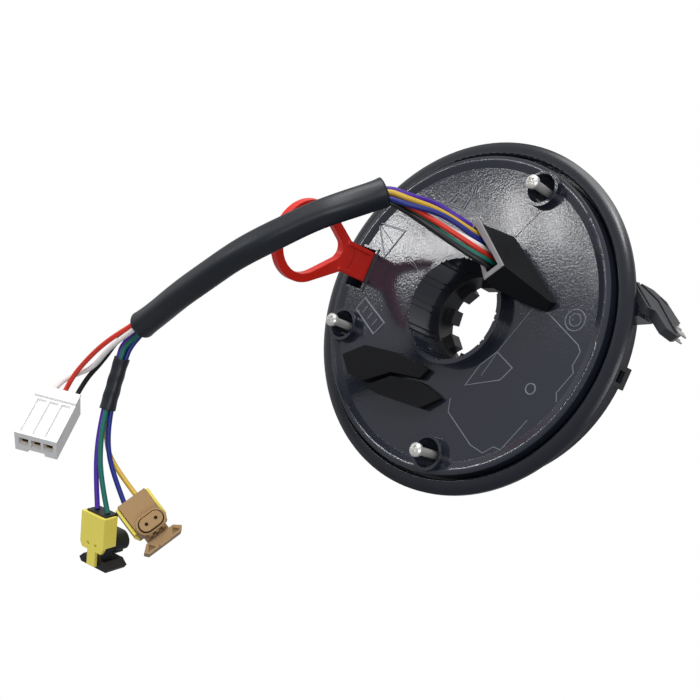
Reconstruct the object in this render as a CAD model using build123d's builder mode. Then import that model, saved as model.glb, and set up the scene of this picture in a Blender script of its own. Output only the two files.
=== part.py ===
from build123d import *
from math import atan2, cos, degrees, hypot, pi, radians, sin, tan
import os

# Steering clock spring: a fixed housing round the column, a rotor that turns with
# the wheel, a coiled ribbon between them, and the wheel side leads with their plugs.
# Frame: +Z up, the turning axis lies along Y, and the rotor face looks along -Y.
# The origin is on the axis, in the plane of the rear seat. A level is a height above
# that seat, measured towards the front, so level 20 is the plane Y = -20.

# Fixed housing
flange_width = 3.4
flange_edge_level = 19.6
flange_crest_level = 21.0
flange_edge_thickness = 1.5
flange_underside_drop = 3.8
housing_wall_inset = 0.6
housing_wall = 2.1
ledge_level = 14.6
ledge_thickness = 2.0
rim_pocket_wall = 2.1
gusset_count = 18
gusset_thickness = 1.5
gusset_foot_level = 7.5

# Base cover
base_thickness = 2.2
bearing_ring_level = 3.4
bearing_ring_thickness = 2.0
bearing_recess_gap = 2.0
chamber_gap = 1.6
chamber_wall = 1.6
chamber_top_level = 18.0
clip_count = 6
clip_first_angle = 30.0
clip_width = 8.0
clip_thickness = 1.5
clip_height = 9.5
clip_window_width = 4.4
clip_window_height = 2.2
clip_window_level = 5.6
catch_depth = 1.1
screw_pad_radius = 4.2
screw_pad_height = 1.8

# Rotor
rotor_radius = 61.2
rotor_gap = 1.3
rotor_face_level = 22.7
rotor_wall = 2.0
rim_level = 23.7
rim_width = 2.4
rim_slope = 2.3
skirt_level = 17.2
skirt_wall = 1.6
bore_radius = 19.3
hub_wall = 1.8
collar_level = 27.4
hub_foot_level = 3.0
shoulder_width = 3.9
shoulder_thickness = 1.6
bearing_clearance = 0.8
bore_groove_pairs = 12
bore_groove_first_angle = 8.0
bore_groove_width = 0.8
bore_groove_depth = 0.45
bore_groove_spacing = 2.4

# Driver collar in the rear of the bore
driver_wall = 2.3
driver_step_level = 10.5
driver_seat_step = 0.6
driver_flange_width = 4.9
driver_foot_level = 0.7
driver_flange_thickness = 2.1
driver_lug_count = 9
driver_lug_first_angle = 37.0
driver_lug_width = 5.6
driver_lug_depth = 3.2
driver_lug_height = 5.6
fit_clearance = 0.3

# Captive screws and their tubes in the rotor
screw_circle_inset = 7.3
screw_angles = (44.5, 173.6, 254.8)
tube_radius = 6.7
tube_wall = 1.2
tube_top_level = 25.5
tube_foot_level = 16.2
tube_web = 1.5
screw_hole_radius = 1.95
screw_shank_radius = 1.6
screw_head_radius = 2.6
screw_head_height = 2.3
screw_head_top_level = 33.4
screw_length = 27.0
screw_tip_length = 4.0
screw_tip_radius = 0.7
screw_recess_width = 0.8
screw_recess_length = 3.0
screw_recess_depth = 1.1
screw_recess_turns = (20, 40, 60)

# Ribbon and its inner and outer terminations
ribbon_inner_gap = 2.0
ribbon_thickness = 0.7
ribbon_outer_gap = 1.3
ribbon_half_turns = 10
ribbon_height = 15.3

# Lock pull
lock_x = -41.6
lock_z = 28.1
lock_angle = 60.6
lock_width = 12.6
lock_thickness = 3.0
lock_rib_width = 1.6
lock_rib_height = 0.5
lock_rib_foot = 25.5
lock_rib_top = 42.5
lock_blade_level = 8.0
lock_body_level = 44.0
lock_ring_level = 59.6
lock_ring_shift = -1.0
lock_ring_radius = 16.0
lock_ring_width = 3.2
slot_back = 8.3
slot_low = 9.4
slot_high = 7.4
slot_frame_width = 1.0
slot_frame_height = 0.6

# Wire exit hood
hood_wall = 1.4
hood_plan = (
    (22.0, 2.3), (22.6, 0.2), (28.8, -3.9), (36.5, -8.4), (42.2, -4.6), (40.3, 3.1),
    (35.6, 11.1), (30.1, 18.1), (25.0, 23.4), (14.0, 26.8),
)
hood_rim_points = ((20.4, 26.4, 40.0), (31.4, 4.2, 43.0), (21.8, 2.2, 39.5))
hood_roof_points = ((20.4, 26.4, 40.0), (31.4, 4.2, 43.0), (25.0, 23.2, 23.0))
hood_end_points = ((25.0, 23.2, 23.0), (42.2, -4.6, 23.0), (37.1, -0.5, 32.4))
hood_side_points = ((31.4, 4.2, 43.0), (21.8, 2.2, 39.5), (36.5, -8.4, 22.9))
hood_top_limit = 46.0
comb_start = (17.9, 23.3)
comb_end = (25.3, 5.4)
comb_level = 31.0
comb_thickness = 2.6
comb_margin = 1.6
block_thickness = 5.0
block_foot_level = 9.0

# Spare cable guide
guide_upper_plan = (
    (-48.6, -9.2), (-38.6, -7.0), (-25.6, -12.0), (-12.6, -20.6), (-16.4, -23.4),
    (-28.0, -19.4), (-40.4, -21.0), (-46.6, -17.0),
)
guide_lower_plan = (
    (-39.4, -23.4), (-32.6, -27.8), (-16.4, -35.0), (-7.4, -32.6), (-10.4, -29.6),
    (-16.6, -24.6), (-27.6, -21.2),
)
guide_upper_line = ((-47.6, -13.0), (-14.5, -22.0))
guide_lower_line = ((-36.0, -24.0), (-9.0, -31.5))
guide_mouth_spot = (-43.0, -13.6)
guide_mouth_radius = 3.4
guide_mouth_level = 31.0
guide_tail_level = 25.2
guide_lower_level = 29.5
guide_wall = 1.3

# Rear plug on the housing
plug_spot = (68.0, -10.5)
plug_row_angle = -63.2
plug_row_length = 15.0
plug_depth = 9.4
plug_wall = 1.3
plug_foot_level = -3.0
plug_top_level = 16.6
plug_cavity_depth = 14.0
plug_rail_width = 1.6
plug_rail_depth = 6.0
plug_pin_offset = -2.8
plug_neck_radius = 63.0
plug_neck_angle = -10.5
plug_neck_depth = 7.0
plug_neck_width = 11.0
rear_pin_count = 6
rear_pin_pitch = 1.9
rear_pin_width = 0.9
rear_pin_thickness = 0.6
rear_pin_length = 19.0

# White three way plug
white_width = 17.0
white_length = 25.6
white_height = 10.3
white_way_shares = (0.21, 0.5, 0.79)
white_collar = 5.4
white_collar_rise = 0.9
white_slot_width = 3.6
white_slot_depth = 1.0
white_cavity_width = 3.9
white_cavity_height = 4.6
white_cavity_depth = 15.0
white_notch_radius = 3.4
white_notch_rise = 1.4

# Airbag squib plugs and their sliding locks
squib_thickness = 5.8
squib_block_length = 15.0
squib_length = 20.0
squib_nose_y = -13.6
squib_nose_radius = 4.7
squib_nose_length = 7.6
squib_rib_angles = (150, 180, 210, 330, 0, 30)
squib_contact_spacing = 4.2
squib_contact_radius = 0.7
squib_wing = 8.7
squib_wing_top = -18.6
squib_wing_drop = 1.8
squib_wing_reach = 3.4
squib_wing_recess = 1.2
lock_play = 0.2
lock_back = 1.3
lock_wall = 1.1
lock_foot_half = 2.3
lock_side_length = 12.0
lock_side_reach = 6.2
lock_window = 2.6
lock_window_y = -6.0
lock_window_z = -0.9

# Leads and sleeves
lead_diameter = 2.0
main_sleeve_diameter = 10.6
branch_sleeve_diameter = 6.2
arc_share = 0.45

sleeve_route = [
    (-2, -66, 33), (-12, -76, 27), (-24, -82, 23), (-38, -88, 17),
    (-56, -90, 12), (-78, -88, 7), (-106, -84, 1),
]
near_routes = {
    "violet": [(17.9, -31, 23.3), (17.9, -39, 23.3), (9.4, -50, 31.5), (5.6, -60.2, 31.3),
               (-0.7, -66.2, 34.9)],
    "yellow": [(19.1, -31, 20.4), (19.1, -39, 20.4), (11.6, -51.4, 27.7), (6, -61.8, 29.5),
               (-0.4, -67.6, 33.1)],
    "blue": [(20.4, -31, 17.4), (20.4, -39, 17.4), (13.6, -51.5, 25.3), (5.3, -62.2, 27.5),
             (-1.7, -67.4, 31.2)],
    "white": [(21.6, -31, 14.4), (21.6, -39, 14.4), (12, -48.7, 22.3), (3.8, -58.4, 31.2),
              (-2.3, -64.6, 34.8)],
    "red": [(22.8, -31, 11.4), (22.8, -39, 11.4), (14.8, -50, 19.3), (3.6, -59.5, 29),
            (-2, -66, 33)],
    "green": [(24.1, -31, 8.4), (24.1, -39, 8.4), (14.5, -48.5, 16.3), (1.9, -58, 28.9),
              (-3.6, -64.4, 32.9)],
    "black": [(25.3, -31, 5.4), (25.3, -39, 5.4), (17.1, -50, 12.7), (2.7, -59.8, 27.1),
              (-3.3, -65.8, 31.1)],
}
branch_route = [(-118.2, -83.0, -10.0), (-123.1, -82.1, -19.4), (-127.0, -81.5, -29.0)]
mid_routes = {
    "violet": [(-106.0, -84.0, 1.0), (-110.8, -82.8, 0.0), (-117.3, -84.2, -5.0), (-119.3, -83.9, -9.6)],
    "green": [(-105.6, -84.0, -1.1), (-110.3, -82.8, -2.4), (-115.2, -84.5, -6.0), (-117.4, -84.2, -10.5)],
    "blue": [(-105.5, -82.2, 0.0), (-110.2, -80.7, -1.2), (-114.8, -82.1, -6.0), (-117.1, -82.1, -10.4)],
    "yellow": [(-106.0, -82.1, 2.1), (-110.7, -80.7, 1.2), (-117.0, -81.8, -4.9), (-119.0, -81.8, -9.5)],
}
far_routes = {
    "violet": [(-128.1, -82.4, -28.6), (-131.6, -81.6, -42), (-132.0, -80.8, -55), (-130.9, -79.7, -67.6)],
    "green": [(-126.2, -82.7, -29.5), (-127.4, -83.4, -42), (-127.2, -82.4, -56), (-125.3, -79.1, -69.9)],
    "blue": [(-125.9, -80.6, -29.4), (-127.2, -80.2, -41.5), (-126.5, -77.8, -52.7), (-121.7, -74.3, -65.8)],
    "yellow": [(-127.8, -80.3, -28.5), (-131.7, -77.6, -40.4), (-129.0, -75.0, -50.3),
               (-119.0, -71.1, -62.4)],
    "red": [(-106.5, -85.8, 2.0), (-121.5, -88.4, -3.5), (-134.0, -88.0, -8.8), (-145.5, -86.8, -15.0),
            (-150.3, -87.0, -23.0)],
    "black": [(-106.4, -84.0, 3.1), (-121.5, -82.4, -0.6), (-132.0, -81.5, -8.2), (-141.8, -82.8, -15.3),
              (-147.0, -83.6, -24.2)],
    "white": [(-106.0, -85.9, -0.1), (-120.0, -88.0, -6.2), (-133.5, -84.9, -11.6), (-145.5, -84.6, -12.2),
              (-152.8, -87.6, -15.6), (-154.0, -90.0, -21.8)],
}

SECTION = Plane(origin=(0, 0, 0), x_dir=(1, 0, 0), z_dir=(0, 0, -1))


def front(level):
    """Sketch plane parallel to the seat: x is X, y is Z, and the normal looks forward."""
    return Plane.XZ.offset(level)


def on_circle(radius, angle):
    """Point on a circle round the axis, as X and Z."""
    return (radius * cos(radians(angle)), radius * sin(radians(angle)))


def section_at(angle):
    """Radial section plane at an angle round the axis: x is the radius, y is the level."""
    turn = radians(angle)
    return Plane(origin=(0, 0, 0), x_dir=(cos(turn), 0, sin(turn)), z_dir=(sin(turn), 0, -cos(turn)))


def world(point):
    """Point given as X, Z and level, in the frame of the part."""
    return Vector(point[0], -point[2], point[1])


def facing_plane(points, inside, inset=0.0):
    """Plane through three points that faces away from an inside point, moved in by inset."""
    first, second, third = [world(point) for point in points]
    normal = (second - first).cross(third - first).normalized()
    if normal.dot(world(inside) - first) > 0:
        normal = normal * -1
    return Plane(origin=first - normal * inset, x_dir=second - first, z_dir=normal)


os.makedirs("parts", exist_ok=True)

# Values worked out from the sizes above
pocket_radius = rotor_radius + rotor_gap
pocket_outer_radius = pocket_radius + rim_pocket_wall
flange_radius = pocket_outer_radius + flange_width
housing_wall_radius = rotor_radius - housing_wall_inset
housing_inner_radius = housing_wall_radius - housing_wall
screw_circle_radius = rotor_radius - screw_circle_inset
pocket_foot_level = ledge_level - ledge_thickness
bearing_ring_top = bearing_ring_level + bearing_ring_thickness
hub_radius = bore_radius + hub_wall
driver_seat_radius = bore_radius + driver_seat_step
bearing_ring_radius = hub_radius + 1.0
shoulder_radius = hub_radius + shoulder_width
driver_radius = bore_radius - driver_wall
driver_flange_radius = hub_radius + driver_flange_width
bearing_recess_radius = driver_flange_radius + bearing_recess_gap
chamber_radius = screw_circle_radius - tube_radius - chamber_wall - chamber_gap
ribbon_inner_radius = bearing_recess_radius + bearing_ring_thickness + ribbon_inner_gap
ribbon_room = chamber_radius - ribbon_outer_gap - ribbon_thickness - ribbon_inner_radius
ribbon_pitch = 2 * ribbon_room / ribbon_half_turns
shoulder_level = bearing_ring_top + bearing_clearance
rotor_underside = rotor_face_level - rotor_wall
skirt_radius = rotor_radius - skirt_wall
driver_top = driver_foot_level + driver_flange_thickness
tube_bore_radius = tube_radius - tube_wall
screw_spots = [on_circle(screw_circle_radius, angle) for angle in screw_angles]

# Housing with the dished flange, the rim pocket and the outer wall
with BuildPart() as stator_housing:
    with BuildSketch(SECTION):
        with BuildLine():
            Polyline(
                (housing_inner_radius, base_thickness), (housing_inner_radius, ledge_level),
                (pocket_radius, ledge_level), (pocket_radius, flange_crest_level - 0.6),
            )
            ThreePointArc(
                (pocket_radius, flange_crest_level - 0.6),
                (pocket_radius + 0.25, flange_crest_level - 0.15),
                (pocket_radius + 0.9, flange_crest_level),
            )
            ThreePointArc(
                (pocket_radius + 0.9, flange_crest_level),
                (flange_radius - 2.1, flange_crest_level - 0.35),
                (flange_radius, flange_edge_level),
            )
            Polyline(
                (flange_radius, flange_edge_level),
                (flange_radius, flange_edge_level - flange_edge_thickness),
                (pocket_outer_radius, flange_crest_level - flange_underside_drop),
                (pocket_outer_radius, pocket_foot_level), (housing_wall_radius, pocket_foot_level),
                (housing_wall_radius, base_thickness), (housing_inner_radius, base_thickness),
            )
        make_face()
    revolve(axis=Axis.Y)
    with BuildSketch(*[section_at(index * 360 / gusset_count) for index in range(gusset_count)]):
        with BuildLine():
            Polyline(
                (housing_wall_radius - 0.4, gusset_foot_level),
                (housing_wall_radius - 0.4, pocket_foot_level + 0.4),
                (pocket_outer_radius - 0.4, pocket_foot_level + 0.4),
                (pocket_outer_radius - 0.4, pocket_foot_level - 0.8), close=True,
            )
        make_face()
    extrude(amount=gusset_thickness / 2, both=True)
    clip_angles = [clip_first_angle + index * 360 / clip_count for index in range(clip_count)]
    with BuildSketch(*[section_at(angle) for angle in clip_angles]):
        with BuildLine():
            Polyline(
                (housing_wall_radius - 0.4, clip_window_level + 0.2),
                (housing_wall_radius - 0.4, clip_window_level + clip_window_height - 0.3),
                (housing_wall_radius + catch_depth, clip_window_level + clip_window_height - 0.3),
                (housing_wall_radius + 0.2, clip_window_level + 0.2), close=True,
            )
        make_face()
    extrude(amount=clip_window_width / 2 - fit_clearance, both=True)
stator_housing.part.label = "stator_housing"

# Base cover with the chamber wall, the bearing ring, the screw pads and the clips
with BuildPart() as base_cover:
    with BuildSketch(SECTION):
        with BuildLine():
            Polyline(
                (bearing_ring_radius, bearing_ring_level), (bearing_ring_radius, bearing_ring_top),
                (bearing_recess_radius + bearing_ring_thickness, bearing_ring_top),
                (bearing_recess_radius + bearing_ring_thickness, base_thickness),
                (chamber_radius, base_thickness), (chamber_radius, chamber_top_level),
                (chamber_radius + chamber_wall, chamber_top_level),
                (chamber_radius + chamber_wall, base_thickness),
                (housing_wall_radius, base_thickness), (housing_wall_radius, 0),
                (bearing_recess_radius, 0), (bearing_recess_radius, bearing_ring_level), close=True,
            )
        make_face()
    revolve(axis=Axis.Y)
    with BuildSketch(*[section_at(angle) for angle in clip_angles]):
        with BuildLine():
            Polyline(
                (housing_wall_radius - 1, 0), (housing_wall_radius - 1, base_thickness),
                (housing_wall_radius + fit_clearance, base_thickness),
                (housing_wall_radius + fit_clearance, clip_height),
                (housing_wall_radius + fit_clearance + clip_thickness, clip_height - 1),
                (housing_wall_radius + fit_clearance + clip_thickness, 0), close=True,
            )
        make_face()
    extrude(amount=clip_width / 2, both=True)
    with BuildSketch(*[
        Plane(section_at(angle).from_local_coords((housing_wall_radius, clip_window_level, 0)),
              x_dir=(-sin(radians(angle)), 0, cos(radians(angle))),
              z_dir=(cos(radians(angle)), 0, sin(radians(angle)))) for angle in clip_angles
    ]):
        Rectangle(clip_window_width, clip_window_height * 2)
    extrude(amount=clip_thickness + 1, mode=Mode.SUBTRACT)
    with BuildSketch(front(base_thickness)):
        with Locations(*screw_spots):
            Circle(screw_pad_radius)
    extrude(amount=screw_pad_height)
    with BuildSketch(front(0)):
        with Locations(*screw_spots):
            Circle(screw_hole_radius)
    extrude(amount=base_thickness + screw_pad_height, mode=Mode.SUBTRACT)
base_cover.part.label = "base_cover"

with BuildPart() as wear_ring:
    with BuildSketch(front(chamber_top_level)):
        Circle(chamber_radius + chamber_wall + 0.5)
        Circle(chamber_radius - 0.5, mode=Mode.SUBTRACT)
    extrude(amount=1.9)
wear_ring.part.label = "wear_ring"

# Ribbon: half turns about two centres half a pitch apart
with BuildPart() as ribbon_cable:
    with BuildSketch(front(base_thickness)):
        for index in range(ribbon_half_turns):
            radius = ribbon_inner_radius + index * ribbon_pitch / 2
            centre = (index % 2) * ribbon_pitch / 2
            first_angle = (index % 2) * 180
            with BuildLine():
                CenterArc((centre, 0), radius, first_angle, 180)
                CenterArc((centre, 0), radius + ribbon_thickness, first_angle, 180)
                for side in (-1, 1):
                    Line((centre + side * radius, 0), (centre + side * (radius + ribbon_thickness), 0))
            make_face()
    extrude(amount=ribbon_height)
ribbon_cable.part.label = "ribbon_cable"

# Rotor disc with its rim, skirt, hub, screw tubes and lock slot
slot_length = slot_low + slot_high
slot_width = slot_back + fit_clearance
slot_centre_w = (slot_high - slot_low) / 2
slot_centre_s = (fit_clearance - slot_back) / 2
lock_turn = radians(lock_angle)
slot_spot = (
    lock_x + slot_centre_w * cos(lock_turn) + slot_centre_s * sin(lock_turn),
    lock_z + slot_centre_w * sin(lock_turn) - slot_centre_s * cos(lock_turn),
)
comb_length = hypot(comb_end[0] - comb_start[0], comb_end[1] - comb_start[1])
comb_turn = degrees(atan2(comb_end[1] - comb_start[1], comb_end[0] - comb_start[0]))
comb_centre = ((comb_start[0] + comb_end[0]) / 2, (comb_start[1] + comb_end[1]) / 2)
with BuildPart() as rotor_disc:
    with BuildSketch(SECTION):
        with BuildLine():
            Polyline(
                (driver_seat_radius, hub_foot_level), (driver_seat_radius, driver_step_level),
                (bore_radius, driver_step_level), (bore_radius, collar_level), (hub_radius, collar_level),
                (hub_radius, rotor_face_level),
                (rotor_radius - rim_width - rim_slope, rotor_face_level),
                (rotor_radius - rim_width, rim_level - 0.15),
            )
            ThreePointArc(
                (rotor_radius - rim_width, rim_level - 0.15),
                (rotor_radius - rim_width / 2, rim_level),
                (rotor_radius - 0.3, rim_level - 0.2),
            )
            Polyline(
                (rotor_radius - 0.3, rim_level - 0.2), (rotor_radius, rim_level - 0.6),
                (rotor_radius, skirt_level), (skirt_radius, skirt_level),
                (skirt_radius, rotor_underside), (hub_radius, rotor_underside),
                (hub_radius, shoulder_level + shoulder_thickness),
                (shoulder_radius, shoulder_level + shoulder_thickness),
                (shoulder_radius, shoulder_level), (hub_radius, shoulder_level),
                (hub_radius, hub_foot_level), (driver_seat_radius, hub_foot_level),
            )
        make_face()
    revolve(axis=Axis.Y)
    with BuildSketch(front(tube_foot_level)):
        with Locations(*screw_spots):
            Circle(tube_radius)
    extrude(amount=tube_top_level - tube_foot_level)
    with BuildSketch(front(tube_foot_level + tube_web)):
        with Locations(*screw_spots):
            Circle(tube_bore_radius)
    extrude(amount=tube_top_level - tube_foot_level, mode=Mode.SUBTRACT)
    with BuildSketch(front(tube_foot_level)):
        with Locations(*screw_spots):
            Circle(screw_hole_radius)
    extrude(amount=tube_web, mode=Mode.SUBTRACT)
    with BuildSketch(front(rotor_underside)):
        with Locations(Location(slot_spot, lock_angle)):
            Rectangle(slot_length + 2 * slot_frame_width, slot_width + 2 * slot_frame_width)
    extrude(amount=rotor_wall + slot_frame_height)
    with BuildSketch(front(skirt_level)):
        with Locations(Location(slot_spot, lock_angle)):
            Rectangle(slot_length, slot_width)
    extrude(amount=rim_level, mode=Mode.SUBTRACT)
    with BuildSketch(front(rotor_underside)):
        with Locations(Location(comb_centre, comb_turn)):
            Rectangle(comb_length + 2 * comb_margin, comb_thickness)
    extrude(amount=rotor_wall, mode=Mode.SUBTRACT)
    with BuildSketch(front(driver_step_level)):
        for index in range(bore_groove_pairs):
            for side in (-1, 1):
                angle = bore_groove_first_angle + index * 360 / bore_groove_pairs
                angle += side * degrees(bore_groove_spacing / 2 / bore_radius)
                with Locations(Location(on_circle(bore_radius, angle), angle)):
                    Rectangle(2 * bore_groove_depth, bore_groove_width)
    extrude(amount=collar_level, mode=Mode.SUBTRACT)
rotor_disc.part.label = "rotor_disc"

# Driver collar: a lining in the rear of the bore, lugs for the wheel and a retaining flange
with BuildPart() as driver_collar:
    with BuildSketch(front(driver_foot_level)):
        Circle(driver_flange_radius)
    extrude(amount=driver_top - driver_foot_level)
    with BuildSketch(front(driver_top)):
        Circle(driver_seat_radius)
    extrude(amount=driver_step_level - driver_top)
    with BuildSketch(front(driver_foot_level)):
        Circle(driver_radius)
    extrude(amount=driver_step_level, mode=Mode.SUBTRACT)
    with BuildSketch(front(driver_foot_level)):
        for index in range(driver_lug_count):
            angle = driver_lug_first_angle + index * 360 / driver_lug_count
            spot = on_circle(driver_radius - driver_lug_depth / 2 + 0.6, angle)
            with Locations(Location(spot, angle)):
                Rectangle(driver_lug_depth + 1.2, driver_lug_width)
    extrude(amount=driver_lug_height)
driver_collar.part.label = "driver_collar"

# Captive screws
screws = []
for number, (spot_x, spot_z) in enumerate(screw_spots, start=1):
    head_foot = screw_head_top_level - screw_head_height
    tip_level = screw_head_top_level - screw_length
    with BuildPart() as screw:
        with BuildSketch(Plane(origin=(spot_x, 0, spot_z), x_dir=(1, 0, 0), z_dir=(0, 0, -1))):
            with BuildLine():
                ThreePointArc(
                    (0, screw_head_top_level),
                    (screw_head_radius * 0.62, screw_head_top_level - 0.32),
                    (screw_head_radius, screw_head_top_level - 1.1),
                )
                Polyline(
                    (screw_head_radius, screw_head_top_level - 1.1), (screw_head_radius, head_foot),
                    (screw_shank_radius, head_foot), (screw_shank_radius, tip_level + screw_tip_length),
                    (screw_tip_radius, tip_level), (0, tip_level), (0, screw_head_top_level),
                )
            make_face()
        revolve(axis=Axis((spot_x, 0, spot_z), (0, 1, 0)))
        with BuildSketch(front(screw_head_top_level - screw_recess_depth)):
            with Locations(Location((spot_x, spot_z), screw_recess_turns[number - 1])):
                Rectangle(screw_recess_length, screw_recess_width)
                Rectangle(screw_recess_width, screw_recess_length)
        extrude(amount=screw_head_height, mode=Mode.SUBTRACT)
    screw.part.label = f"mount_screw_{number}"
    screws.append(screw.part)

# Lock pull: blade, ribbed body and finger ring in one flat plane beside the axis
lock_plane = Plane(
    origin=(lock_x, 0, lock_z), x_dir=(cos(lock_turn), 0, sin(lock_turn)),
    z_dir=(sin(lock_turn), 0, -cos(lock_turn)),
)
lock_half = lock_width / 2
with BuildPart() as lock_pull:
    with BuildSketch(lock_plane):
        with BuildLine():
            Polyline(
                (-lock_half + 1.2, lock_blade_level), (-lock_half, lock_blade_level + 2.5),
                (-lock_half, lock_body_level), (lock_half - 1, lock_body_level),
                (lock_half, lock_body_level - 1.5), (lock_half, lock_blade_level + 2.5),
                (lock_half - 1.2, lock_blade_level), close=True,
            )
        make_face()
        with Locations((lock_ring_shift, lock_ring_level)):
            Circle(lock_ring_radius)
            Circle(lock_ring_radius - lock_ring_width, mode=Mode.SUBTRACT)
    extrude(amount=-lock_thickness)
    with BuildSketch(lock_plane):
        for side in (-1, 1):
            with Locations((side * (lock_half - lock_rib_width / 2), (lock_rib_foot + lock_rib_top) / 2)):
                Rectangle(lock_rib_width, lock_rib_top - lock_rib_foot)
    extrude(amount=lock_rib_height)
lock_pull.part.label = "lock_pull"


def hood_form(inset):
    """Wedge of the wire exit hood, or its inner space when inset is the wall."""
    inside = (26.0, 10.0, 28.0)
    foot = rotor_face_level - (1 if inset else 0)
    with BuildPart() as form:
        with BuildSketch(front(foot)) as plan:
            with BuildLine():
                Polyline(*hood_plan, close=True)
            make_face()
            if inset:
                offset(amount=-inset, kind=Kind.INTERSECTION, mode=Mode.REPLACE)
        extrude(amount=hood_top_limit - foot)
        for points, moves in (
            (hood_rim_points, False), (hood_roof_points, True),
            (hood_end_points, True), (hood_side_points, True),
        ):
            if inset and not moves:
                continue
            plane = facing_plane(points, inside, inset if moves else 0.0)
            split(bisect_by=plane, keep=Keep.BOTTOM)
    return form.part


with BuildPart() as wire_exit_hood:
    add(hood_form(0.0))
    add(hood_form(hood_wall), mode=Mode.SUBTRACT)
wire_exit_hood.part.label = "wire_exit_hood"

# Terminal block of the inner ribbon end, with the comb that the leads leave from
with BuildPart() as terminal_block:
    with BuildSketch(front(block_foot_level)):
        with Locations(Location(comb_centre, comb_turn)):
            Rectangle(comb_length, block_thickness)
        Circle(hub_radius, mode=Mode.SUBTRACT)
    extrude(amount=rotor_underside - block_foot_level)
    with BuildSketch(front(rotor_underside)):
        with Locations(Location(comb_centre, comb_turn)):
            Rectangle(comb_length + 2 * comb_margin, comb_thickness)
    extrude(amount=comb_level - rotor_underside)
terminal_block.part.label = "terminal_block"


def guide_form(plan, mouth, levels, inset):
    """Low wedge whose top falls from its mouth to its tail, or the space inside it."""
    high, low = levels
    near, far = mouth
    foot = rotor_face_level - (1 if inset else 0)
    across = (near[0] - (far[1] - near[1]), near[1] + (far[0] - near[0]))
    with BuildPart() as form:
        with BuildSketch(front(foot)):
            with BuildLine():
                Polyline(*plan, close=True)
            make_face()
            if inset:
                offset(amount=-inset, kind=Kind.INTERSECTION, mode=Mode.REPLACE)
        extrude(amount=high)
        top = facing_plane(
            ((near[0], near[1], high), (far[0], far[1], low), (across[0], across[1], high)),
            (near[0], near[1], rotor_face_level), inset,
        )
        split(bisect_by=top, keep=Keep.BOTTOM)
    return form.part


with BuildPart() as cable_guide_upper:
    levels = (guide_mouth_level, guide_tail_level)
    add(guide_form(guide_upper_plan, guide_upper_line, levels, 0.0))
    add(guide_form(guide_upper_plan, guide_upper_line, levels, guide_wall), mode=Mode.SUBTRACT)
    with BuildSketch(front(rotor_face_level + 1.5)):
        with Locations(guide_mouth_spot):
            Circle(guide_mouth_radius)
    extrude(amount=guide_mouth_level, mode=Mode.SUBTRACT)
cable_guide_upper.part.label = "cable_guide_upper"

with BuildPart() as cable_guide_lower:
    levels = (guide_lower_level, guide_tail_level)
    add(guide_form(guide_lower_plan, guide_lower_line, levels, 0.0))
    add(guide_form(guide_lower_plan, guide_lower_line, levels, guide_wall), mode=Mode.SUBTRACT)
cable_guide_lower.part.label = "cable_guide_lower"

# Rear plug shroud on the housing wall, open to the rear, with its contact pins
plug_turn = radians(plug_row_angle)
with BuildPart() as rear_plug_shroud:
    with BuildSketch(front(plug_foot_level)):
        with Locations(Location(plug_spot, plug_row_angle)):
            RectangleRounded(plug_row_length, plug_depth, 1.2)
    extrude(amount=plug_top_level - plug_foot_level)
    with BuildSketch(front(0)):
        with Locations(Location(on_circle(plug_neck_radius, plug_neck_angle), plug_neck_angle)):
            Rectangle(plug_neck_depth, plug_neck_width)
    extrude(amount=plug_top_level)
    with BuildSketch(front(plug_foot_level)):
        with Locations(Location(plug_spot, plug_row_angle)):
            Rectangle(plug_row_length - 2 * plug_wall, plug_depth - 2 * plug_wall)
    extrude(amount=plug_cavity_depth, mode=Mode.SUBTRACT)
    with BuildSketch(front(0)):
        Circle(housing_wall_radius)
    extrude(amount=pocket_foot_level, mode=Mode.SUBTRACT)
    with BuildSketch(front(pocket_foot_level)):
        Circle(pocket_outer_radius)
    extrude(amount=plug_top_level - pocket_foot_level, mode=Mode.SUBTRACT)
    rail_spot = (
        plug_spot[0] + (plug_row_length / 2 + plug_rail_width / 2) * cos(plug_turn),
        plug_spot[1] + (plug_row_length / 2 + plug_rail_width / 2) * sin(plug_turn),
    )
    with BuildSketch(front(plug_foot_level)):
        with Locations(Location(rail_spot, plug_row_angle)):
            Rectangle(plug_rail_width + 0.4, plug_rail_depth)
    extrude(amount=plug_top_level - plug_foot_level - 3)
rear_plug_shroud.part.label = "rear_plug_shroud"

with BuildPart() as rear_terminals:
    pin_foot = plug_foot_level + plug_cavity_depth
    with BuildSketch(front(pin_foot)):
        for index in range(rear_pin_count):
            along = (index - (rear_pin_count - 1) / 2) * rear_pin_pitch
            spot = (
                plug_spot[0] + along * cos(plug_turn) + plug_pin_offset * sin(plug_turn),
                plug_spot[1] + along * sin(plug_turn) - plug_pin_offset * cos(plug_turn),
            )
            with Locations(Location(spot, plug_row_angle)):
                Rectangle(rear_pin_width, rear_pin_thickness)
    extrude(amount=-rear_pin_length)
rear_terminals.part.label = "rear_terminals"

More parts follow.
